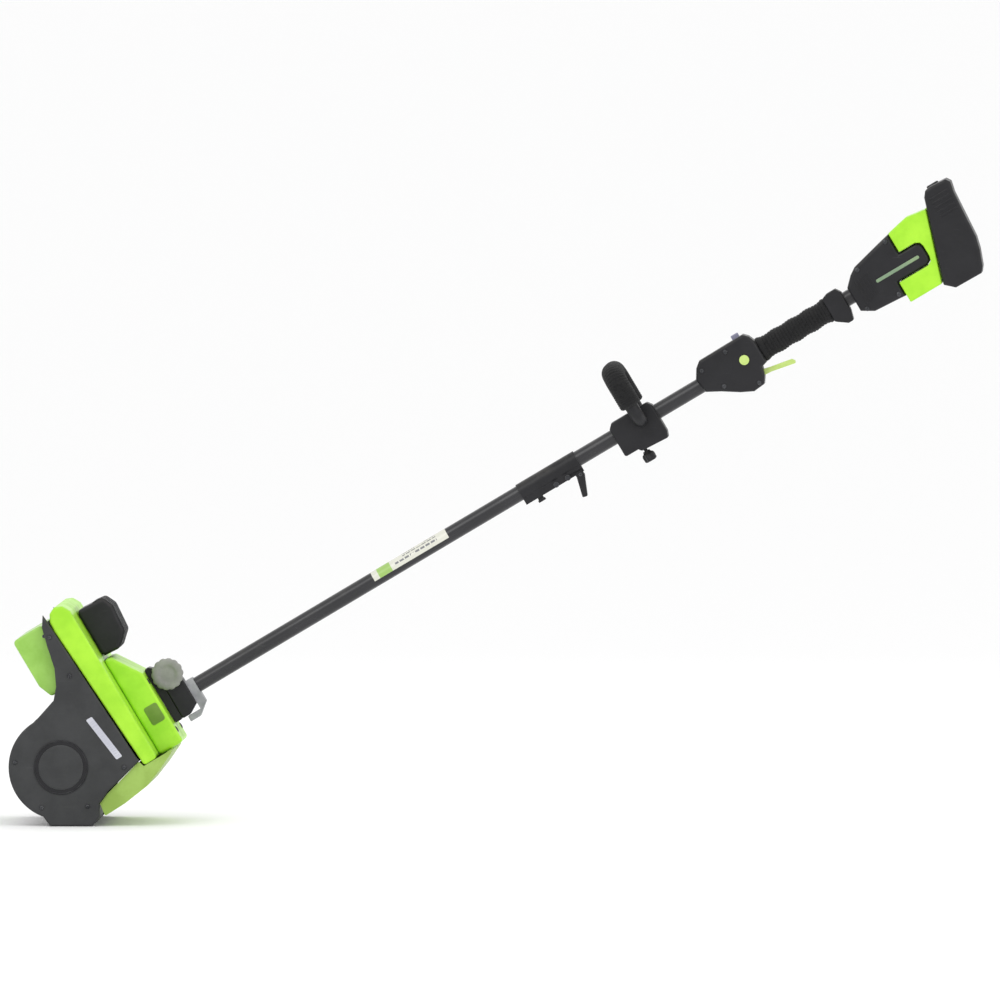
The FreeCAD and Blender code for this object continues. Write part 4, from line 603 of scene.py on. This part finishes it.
def lathe(centre, way, profile, turns=96, wave=None):
    # ring at each station along the axis; radius = profile radius * (1 + wave of the angle)
    way = way / np.linalg.norm(way)
    first = np.cross(way, [0.31, 0.17, 0.94])
    first /= np.linalg.norm(first)
    second = np.cross(way, first)
    stations, radii = np.array(profile, float).T
    angle = np.linspace(0, 2 * np.pi, turns, endpoint=False)
    swell = np.ones((len(stations), turns)) if wave is None else wave(angle[None, :], stations[:, None])
    reach = radii[:, None] * swell / 1000
    spokes = np.cos(angle)[:, None] * first + np.sin(angle)[:, None] * second
    return centre + stations[:, None, None] * way / 1000 + reach[..., None] * spokes[None]


def roundedLoop(corners, radius, steps=7):
    # each corner becomes a quadratic arc from one edge to the next: (1-s)^2 a + 2s(1-s) corner + s^2 b
    corners = np.array(corners, float)
    before, after = np.roll(corners, 1, axis=0) - corners, np.roll(corners, -1, axis=0) - corners
    lengths = np.linalg.norm(before, axis=1), np.linalg.norm(after, axis=1)
    start = corners + before / lengths[0][:, None] * np.minimum(radius, 0.45 * lengths[0])[:, None]
    end = corners + after / lengths[1][:, None] * np.minimum(radius, 0.45 * lengths[1])[:, None]
    s = np.linspace(0, 1, steps)[None, :, None]
    arcs = (1 - s) ** 2 * start[:, None] + 2 * s * (1 - s) * corners[:, None] + s ** 2 * end[:, None]
    return arcs.reshape(-1, 2)


def plaque(corners, radius, low, high, edge, lay):
    # an outline carried from low to high; its top edge rolls over: inset = edge (1 - cos), height = edge sin
    loop = roundedLoop(corners, radius)
    tangent = np.roll(loop, -1, axis=0) - np.roll(loop, 1, axis=0)
    inward = np.stack([-tangent[:, 1], tangent[:, 0]], axis=1)
    inward /= np.linalg.norm(inward, axis=1)[:, None]
    area = np.sum(loop[:, 0] * np.roll(loop[:, 1], -1) - np.roll(loop[:, 0], -1) * loop[:, 1])
    inward *= np.sign(area)
    angle = np.linspace(0, np.pi / 2, 5)
    inset = np.concatenate([[0], edge * (1 - np.cos(angle))])
    level = np.concatenate([[low], high - np.sign(high - low) * edge * (1 - np.sin(angle))])
    flat = loop[None] + inset[:, None, None] * inward[None]
    return lay(flat[..., 0], flat[..., 1], level[:, None])


def sidePlaque(side):
    # lays an outline given in (along, up) on one side of the object
    return lambda along, up, level: onPole(along, side * level + 0 * along, up)


# ---- rotor paddles
paddles = dict(blades=4, root=19.6, tip=71.6, thick=5.2, hook=5.0, rib=0.7, ribPitch=13.0, scallop=2.2,
               scallopPitch=44.0, endRound=3.0, endThick=0.55, rows=121, steps=22)


def paddleGrid(turn, low, high):
    # profile round one blade: side * half thickness about a line that hooks forward as (share of reach)
    # squared, with ribs cos(2 pi across / pitch) on both faces and a scalloped tip
    across = np.linspace(low, high, paddles["rows"])[:, None]
    outward = np.linspace(0, 1, paddles["steps"])
    share = np.concatenate([outward, outward[::-1]])[None, :]
    side = np.repeat([1.0, -1.0], paddles["steps"])[None, :]
    scallop = 0.5 - 0.5 * np.cos(2 * np.pi * across / paddles["scallopPitch"])
    radial = paddles["root"] + share * (paddles["tip"] - paddles["scallop"] * scallop - paddles["root"])
    half = paddles["thick"] / 2 * (1.1 - 0.35 * share) * np.sqrt(np.clip(1.02 - share ** 14, 0.02, 1))
    wave = np.clip(np.cos(2 * np.pi * across / paddles["ribPitch"]), 0, 1)
    ribs = paddles["rib"] * wave * np.sin(np.pi * share)
    sideways = paddles["hook"] * (share ** 2 - 0.35 * share) + side * (half + ribs)
    ends = np.clip(np.minimum(across - low, high - across) / paddles["endRound"], 0, 1)
    sideways = sideways * (paddles["endThick"] + (1 - paddles["endThick"]) * np.sqrt(ends))
    x = radial * math.cos(turn) - sideways * math.sin(turn)
    z = radial * math.sin(turn) + sideways * math.cos(turn)
    return rotorAt * [1, 0, 1] + np.stack([x, across + 0 * x, z], axis=-1) / 1000


def makePaddles():
    low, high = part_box("rotor_paddles")
    turns = np.arange(paddles["blades"]) * 2 * np.pi / paddles["blades"]
    grids = [paddleGrid(turn, low.y * 1000, high.y * 1000) for turn in turns]
    surface("rotorPaddles", grids, materials["paddle_rubber"], "rotor", sharp=50,
            replaced=("rotor_paddles",))


makePaddles()
print("paddles made")


# ---- foam and rubber grips
loopFoam = dict(bar=11.2, radius=18.0, corner=26.0, ridge=0.55, ridgePitch=3.6, roundEnd=5.0, bendSteps=24,
                rings=420, turns=64)


def makeLoopGrip():
    # tube round the loop's centre line; radius = foam radius - ridge * wave along it, rolled in at both ends
    low, high = poleSpan("loop_grip")
    half, top, start = high[1] - loopFoam["radius"], high[2] - loopFoam["radius"], low[2]
    r = loopFoam["corner"]
    bend = np.linspace(0, np.pi / 2, loopFoam["bendSteps"])
    straight = top - r - 0.01
    across = np.concatenate([[-half, -half], -half + r - r * np.cos(bend), half - r + r * np.sin(bend),
                             [half, half]])
    up = np.concatenate([[start, straight], top - r + r * np.sin(bend), top - r + r * np.cos(bend),
                         [straight, start]])
    run = np.concatenate([[0], np.cumsum(np.hypot(np.diff(across), np.diff(up)))])
    length = np.linspace(0, run[-1], loopFoam["rings"])
    across, up = np.interp(length, run, across), np.interp(length, run, up)
    way = np.stack([np.gradient(across), np.gradient(up)], axis=1)
    way /= np.linalg.norm(way, axis=1)[:, None]
    fromEnd = np.minimum(length, length[-1] - length)
    wave = 0.5 - 0.5 * np.cos(2 * np.pi * length / loopFoam["ridgePitch"])
    radius = loopFoam["radius"] - loopFoam["ridge"] * wave ** 2
    rolled = np.clip(fromEnd / loopFoam["roundEnd"], 0, 1)
    radius = loopFoam["bar"] + (radius - loopFoam["bar"]) * np.sqrt(1 - (1 - rolled) ** 2)
    angle = np.linspace(0, 2 * np.pi, loopFoam["turns"], endpoint=False)
    middle = (low[0] + high[0]) / 2
    grid = onPole(middle + radius[:, None] * np.cos(angle),
                  across[:, None] - way[:, 1:] * radius[:, None] * np.sin(angle),
                  up[:, None] + way[:, :1] * radius[:, None] * np.sin(angle))
    surface("loopFoamGrip", [grid], materials["grip_foam"], "handle", sharp=60,
            replaced=("loop_grip",))


rearRubber = dict(radius=19.5, rib=0.9, ribPitch=5.5, wave=0.7, wavePitch=31.0, sunk=0.3, collar=1.3,
                  collarWidth=5.0, collarSlope=3.0, endRound=2.0, rings=560)


def makeRearGrip():
    # radius = base + slow finger wave - sharp ring grooves, with a raised collar at both ends
    low, high = poleSpan("rear_grip")
    length = high[0] - low[0]
    station = np.linspace(0, length, rearRubber["rings"])
    fromEnd = np.minimum(station, length - station)
    inside = np.clip((fromEnd - rearRubber["collarWidth"]) / rearRubber["collarSlope"], 0, 1)
    groove = np.clip(np.cos(2 * np.pi * station / rearRubber["ribPitch"]) * 2.2 - 1.0, 0, 1)
    wave = rearRubber["wave"] * np.cos(2 * np.pi * (station - length / 2) / rearRubber["wavePitch"])
    radius = rearRubber["radius"] + inside * (wave - rearRubber["rib"] * groove - rearRubber["sunk"])
    radius += rearRubber["collar"] * (1 - inside)
    rolled = np.clip(fromEnd / rearRubber["endRound"], 0, 1)
    radius -= rearRubber["endRound"] * (1 - np.sqrt(np.clip(1 - (1 - rolled) ** 2, 0, 1)))
    grid = lathe(onPole(low[0], 0, 0), poleWay, np.stack([station, radius], axis=1))
    surface("rearRubberGrip", [grid], materials["grip_foam"], "power_unit", sharp=60,
            replaced=("rear_grip",))


makeLoopGrip()
makeRearGrip()
print("grips made")


# ---- knobs and caps
def hexagon(angle, station):
    # distance to a hexagon's side, as a share of its corner radius
    return np.cos(np.pi / 6) / np.cos((angle % (np.pi / 3)) - np.pi / 6) + 0 * station


clampKnob = dict(lobes=14, depth=0.05, thick=15.0, lobeStart=3.0,
                 face=[(2.6, 0.4), (2.4, 9), (2.2, 13), (0.5, 15), (0, 17), (0, 20), (0.6, 23), (2.2, 25.2),
                       (4.5, 26)],
                 back=[(-4, 26), (-1.6, 25.2), (-0.4, 23), (0, 20), (0, 4)])
clampBolt = dict(shank=4.0, tip=3.4, chamfer=0.6, spare=7.5, nutStart=22.6, nutEnd=29.5, nutBore=4.1,
                 nutFace=8.2, nutCorner=8.8, nutChamfer=0.5)


def makeClampKnob():
    # lobed rim: radius * (1 - depth * (half wave of the angle) squared), fading out on the dished face
    low, high = poleSpan("clamp_knob")
    centre = onPole((low[0] + high[0]) / 2, 0, (low[2] + high[2]) / 2)
    front, seat, end = low[1], low[1] + clampKnob["thick"], high[1]

    def lobed(angle, station):
        rim = np.clip((station - front) / clampKnob["lobeStart"], 0, 1)
        return 1 - clampKnob["depth"] * rim * (0.5 - 0.5 * np.cos(clampKnob["lobes"] * angle)) ** 2

    profile = [(front + step, radius) for step, radius in clampKnob["face"]]
    profile += [(seat + step, radius) for step, radius in clampKnob["back"]]
    surface("clampKnobGrip", [lathe(centre, sideWay, profile, 168, lobed)], materials["knob_plastic"],
            "clamp_knob", sharp=45, replaced=("clamp_knob",))
    bolt = clampBolt
    shank = [(seat - 1, bolt["shank"]), (end - bolt["spare"], bolt["shank"]),
             (end - bolt["chamfer"], bolt["shank"]), (end, bolt["tip"])]
    nut = [(bolt["nutStart"], bolt["nutBore"]), (bolt["nutStart"], bolt["nutFace"]),
           (bolt["nutStart"] + bolt["nutChamfer"], bolt["nutCorner"]),
           (bolt["nutEnd"] - bolt["nutChamfer"], bolt["nutCorner"]), (bolt["nutEnd"], bolt["nutFace"]),
           (bolt["nutEnd"], bolt["nutBore"])]
    grids = [lathe(centre, sideWay, shank, 32), lathe(centre, sideWay, nut, 96, hexagon)]
    surface("clampBoltAndNut", grids, materials["fastener_steel"], "clamp_knob", sharp=30)


starKnob = dict(lobes=5, depth=0.16, headHeight=19.0, fade=1.0,
                head=[(0, 0.3), (0, 6.0), (0.8, 8.4), (2.5, 9.6), (10, 9.8), (13, 9.0), (15, 6.2),
                      (18.5, 5.4), (18.5, 3.0)],
                stud=[(-0.6, 3.0), (0, 2.4)])


def makeHandleKnob():
    # star knob: radius * (1 + depth * cos(lobes * angle)) on the head, a plain stud above it
    low, high = poleSpan("handle_knob")
    centre = onPole((low[0] + high[0]) / 2, 0, 0)
    bottom, top = low[2], high[2]

    def star(angle, station):
        head = np.clip((bottom + starKnob["headHeight"] - station) / starKnob["fade"], 0, 1)
        return 1 + starKnob["depth"] * head * np.cos(starKnob["lobes"] * angle)

    profile = [(bottom + step, radius) for step, radius in starKnob["head"]]
    profile += [(top + step, radius) for step, radius in starKnob["stud"]]
    surface("handleStarKnob", [lathe(centre, upWay, profile, 120, star)], materials["black_plastic"],
            "handle_knob", sharp=40, replaced=("handle_knob",))


hub = dict(rim=44.0, disc=36.0, groove=1.3, dome=0.8, rise=0.2, domeShares=(0.9, 0.7, 0.5, 0.25, 0.01),
           roll=[(1.0, 0), (0.3, -0.3), (0, -1.0), (0, -1.7), (0.2, -2.0)], grooveStep=2.3)


def makeHubCap():
    # a black dish with a rolled rim, its black ring painted shade for the groove, and a paler disc in it that
    # rises to a slight dome
    low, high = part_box("hub_cap")
    centre = rotorAt * [1, 0, 1]
    base, top = high.y * 1000, low.y * 1000
    floor = top + hub["groove"]
    dish = [(base, hub["rim"])] + [(top + step, hub["rim"] + inset) for step, inset in hub["roll"]]
    dish += [(floor, hub["rim"] - hub["grooveStep"]), (floor, 0.3)]
    surface("hubCapDishPaintedShade", [lathe(centre, sideWay, dish, 160)], materials["black_plastic"],
            "attachment", sharp=30, replaced=("hub_cap",))
    flat = hub["disc"] - 0.5
    disc = [(floor + hub["rise"], hub["disc"] + 0.3), (top + 0.3, hub["disc"]), (top, flat)]
    disc += [(top - hub["dome"] * (1 - share ** 2), share * flat) for share in hub["domeShares"]]
    surface("hubCapDisc", [lathe(centre, sideWay, disc, 160)], materials["charcoal_plastic"],
            "attachment", sharp=30)


makeClampKnob()
makeHandleKnob()
makeHubCap()
print("knobs and hub cap made")


# ---- moulded details on the housings
screwShape = [(0, 0.9), (0, 1), (0.35, 1), (0.8, 0.82), (1, 0.55), (1, 0.46), (0.1, 0.40)]


def screwHead(centre, way, radius, height):
    # a pan head with a sunk six-lobe socket: shares of the height and radius, then the socket's floor
    profile = [(step * height, share * radius) for step, share in screwShape] + [(0.05, 0.1)]

    def socket(angle, station):
        inside = (station > height * 0.05) * (station < height * 0.99)
        return 1 + 0.12 * np.cos(6 * angle) * inside
    return lathe(centre, way, profile, 36, socket)


coverScrews = dict(places=[(-60, -40), (-60, 45), (5, -76), (88, -52), (88, 120), (92, 190)], wall=152.0,
                   radius=3.8, height=2.2)
controlScrews = dict(places=[(-98, 20), (-50, 27), (-80, -20), (-28, -44)], wall=26.0)
motorScrews = dict(places=[(10, -30), (28, 32), (90, 48), (66, -36)], wall=36.0)
unitScrew = dict(radius=3.8, height=2.0)
gripFront = poleSpan("rear_grip")[0][0]
collarToMotor = 14.0
motorFront = poleSpan("grip_collar")[1][0] + collarToMotor


def makeScrewHeads():
    size = coverScrews["radius"], coverScrews["height"]
    heads = [screwHead(onPole(along, side * coverScrews["wall"], up), side * sideWay, *size)
             for along, up in coverScrews["places"] for side in (-1, 1)]
    surface("coverScrewHeads", heads, materials["fastener_steel"], "attachment", sharp=40)
    heads = []
    for origin, screws in ((gripFront, controlScrews), (motorFront, motorScrews)):
        for along, up in screws["places"]:
            place = onPole(origin + along, -screws["wall"], up)
            heads.append(screwHead(place, -sideWay, unitScrew["radius"], unitScrew["height"]))
    surface("housingScrewHeads", heads, materials["fastener_steel"], "power_unit",
            sharp=40)


makeScrewHeads()


def bar(start, end, low, high):
    # corners of an upright rectangle in the pole frame
    return [(start, low), (end, low), (end, high), (start, high)]


inlay = dict(start=1530.0, end=1610.0, half=2.8, round=2.7, seat=35.0, top=37.0, edge=0.8)
louvres = dict(count=5, first=1499.0, pitch=6.2, low=-24.0, lowStep=1.6, high=18.0, highStep=0.8, width=2.6,
               round=1.2, seat=35.0, top=37.0, edge=0.7)


def makeHousingDetails():
    # a pale inlay along the housing's tongue, and raised louvre bars on both sides in front of the motor
    corners = bar(inlay["start"], inlay["end"], -inlay["half"], inlay["half"])
    grids = [plaque(corners, inlay["round"], inlay["seat"], inlay["top"], inlay["edge"], sidePlaque(side))
             for side in (-1, 1)]
    surface("tongueInlay", grids, materials["inlay_plastic"], "power_unit", sharp=50)
    bars = []
    for side in (-1, 1):
        for k in range(louvres["count"]):
            start = louvres["first"] + k * louvres["pitch"]
            corners = bar(start, start + louvres["width"], louvres["low"] + k * louvres["lowStep"],
                          louvres["high"] + k * louvres["highStep"])
            bars.append(plaque(corners, louvres["round"], louvres["seat"], louvres["top"], louvres["edge"],
                               sidePlaque(side)))
    surface("motorLouvres", bars, materials["black_plastic"], "power_unit", sharp=50)


makeHousingDetails()

fingerRibs = dict(count=5, first=36.0, pitch=8.0, fromRear=44.0, length=34.0, width=3.4, round=1.6,
                  seat=42.0, proud=1.1, edge=0.9)


def makeBatteryRibs():
    # finger ribs on both sides of the battery, near its top
    low, high = poleSpan("battery_pack")
    start, wall = high[0] - fingerRibs["fromRear"], high[1]
    ribs = []
    for side in (-1, 1):
        for k in range(fingerRibs["count"]):
            up = fingerRibs["first"] + k * fingerRibs["pitch"]
            corners = bar(start, start + fingerRibs["length"], up, up + fingerRibs["width"])
            ribs.append(plaque(corners, fingerRibs["round"], fingerRibs["seat"],
                               wall + fingerRibs["proud"], fingerRibs["edge"], sidePlaque(side)))
    surface("batteryFingerRibs", ribs, materials["black_plastic"], "battery", sharp=50)


makeBatteryRibs()

# the fairing side pads are painted shade: a darker green sheet over the shaded side recess
shadePadShape = dict(start=14.0, end=38.0, low=-20.0, high=12.0, round=5.0, sunk=1.5, proud=0.8, edge=0.7)
fairingScrews = dict(across=(-58, 58), up=(-44, 46), radius=5.0, height=1.8)


def makeFairingDetails():
    # a darker green pad on each side of the fairing, painted shade for its shaded side recess, and four broad
    # screws on its rear face
    low, high = poleSpan("gearbox_fairing")
    corners = bar(low[0] + shadePadShape["start"], low[0] + shadePadShape["end"], shadePadShape["low"], shadePadShape["high"])
    shadePads = [plaque(corners, shadePadShape["round"], high[1] - shadePadShape["sunk"], high[1] + shadePadShape["proud"], shadePadShape["edge"],
                   sidePlaque(side)) for side in (-1, 1)]
    surface("fairingPaintedShadePads", shadePads, materials["olive_deep"], "attachment", sharp=50)
    size = fairingScrews["radius"], fairingScrews["height"]
    screws = [screwHead(onPole(high[0], across, up), poleWay, *size)
              for across in fairingScrews["across"] for up in fairingScrews["up"]]
    surface("fairingScrews", screws, materials["fastener_steel"], "attachment", sharp=40)


makeFairingDetails()

ventRibs = dict(count=8, pitch=13.0, half=2.0, proud=1.6, sunk=1.5, round=4.0,
                rear=[(-24, 118), (-4, 136), (0, 182), (-8, 199), (-26, 201)])


def makeVentRibs():
    # upright ribs between the cap's slots: a band along its rear outline, carried across by the rib's width
    high = poleSpan("vent_cap")[1]
    out = np.array(ventRibs["rear"], float) + [high[0], 0]
    way = np.gradient(out, axis=0)
    normal = np.stack([way[:, 1], -way[:, 0]], axis=1) / np.linalg.norm(way, axis=1)[:, None]
    band = np.concatenate([out + normal * ventRibs["proud"], (out - normal * ventRibs["sunk"])[::-1]])
    loop = roundedLoop(band, ventRibs["round"])
    grids = []
    for index in range(ventRibs["count"]):
        middle = (index - (ventRibs["count"] - 1) / 2) * ventRibs["pitch"]
        across = np.array([middle - ventRibs["half"], middle + ventRibs["half"]])
        grids.append(onPole(loop[None, :, 0], across[:, None], loop[None, :, 1]))
    surface("ventCapRibs", grids, materials["black_plastic"], "attachment", sharp=40)


makeVentRibs()
print("details made")
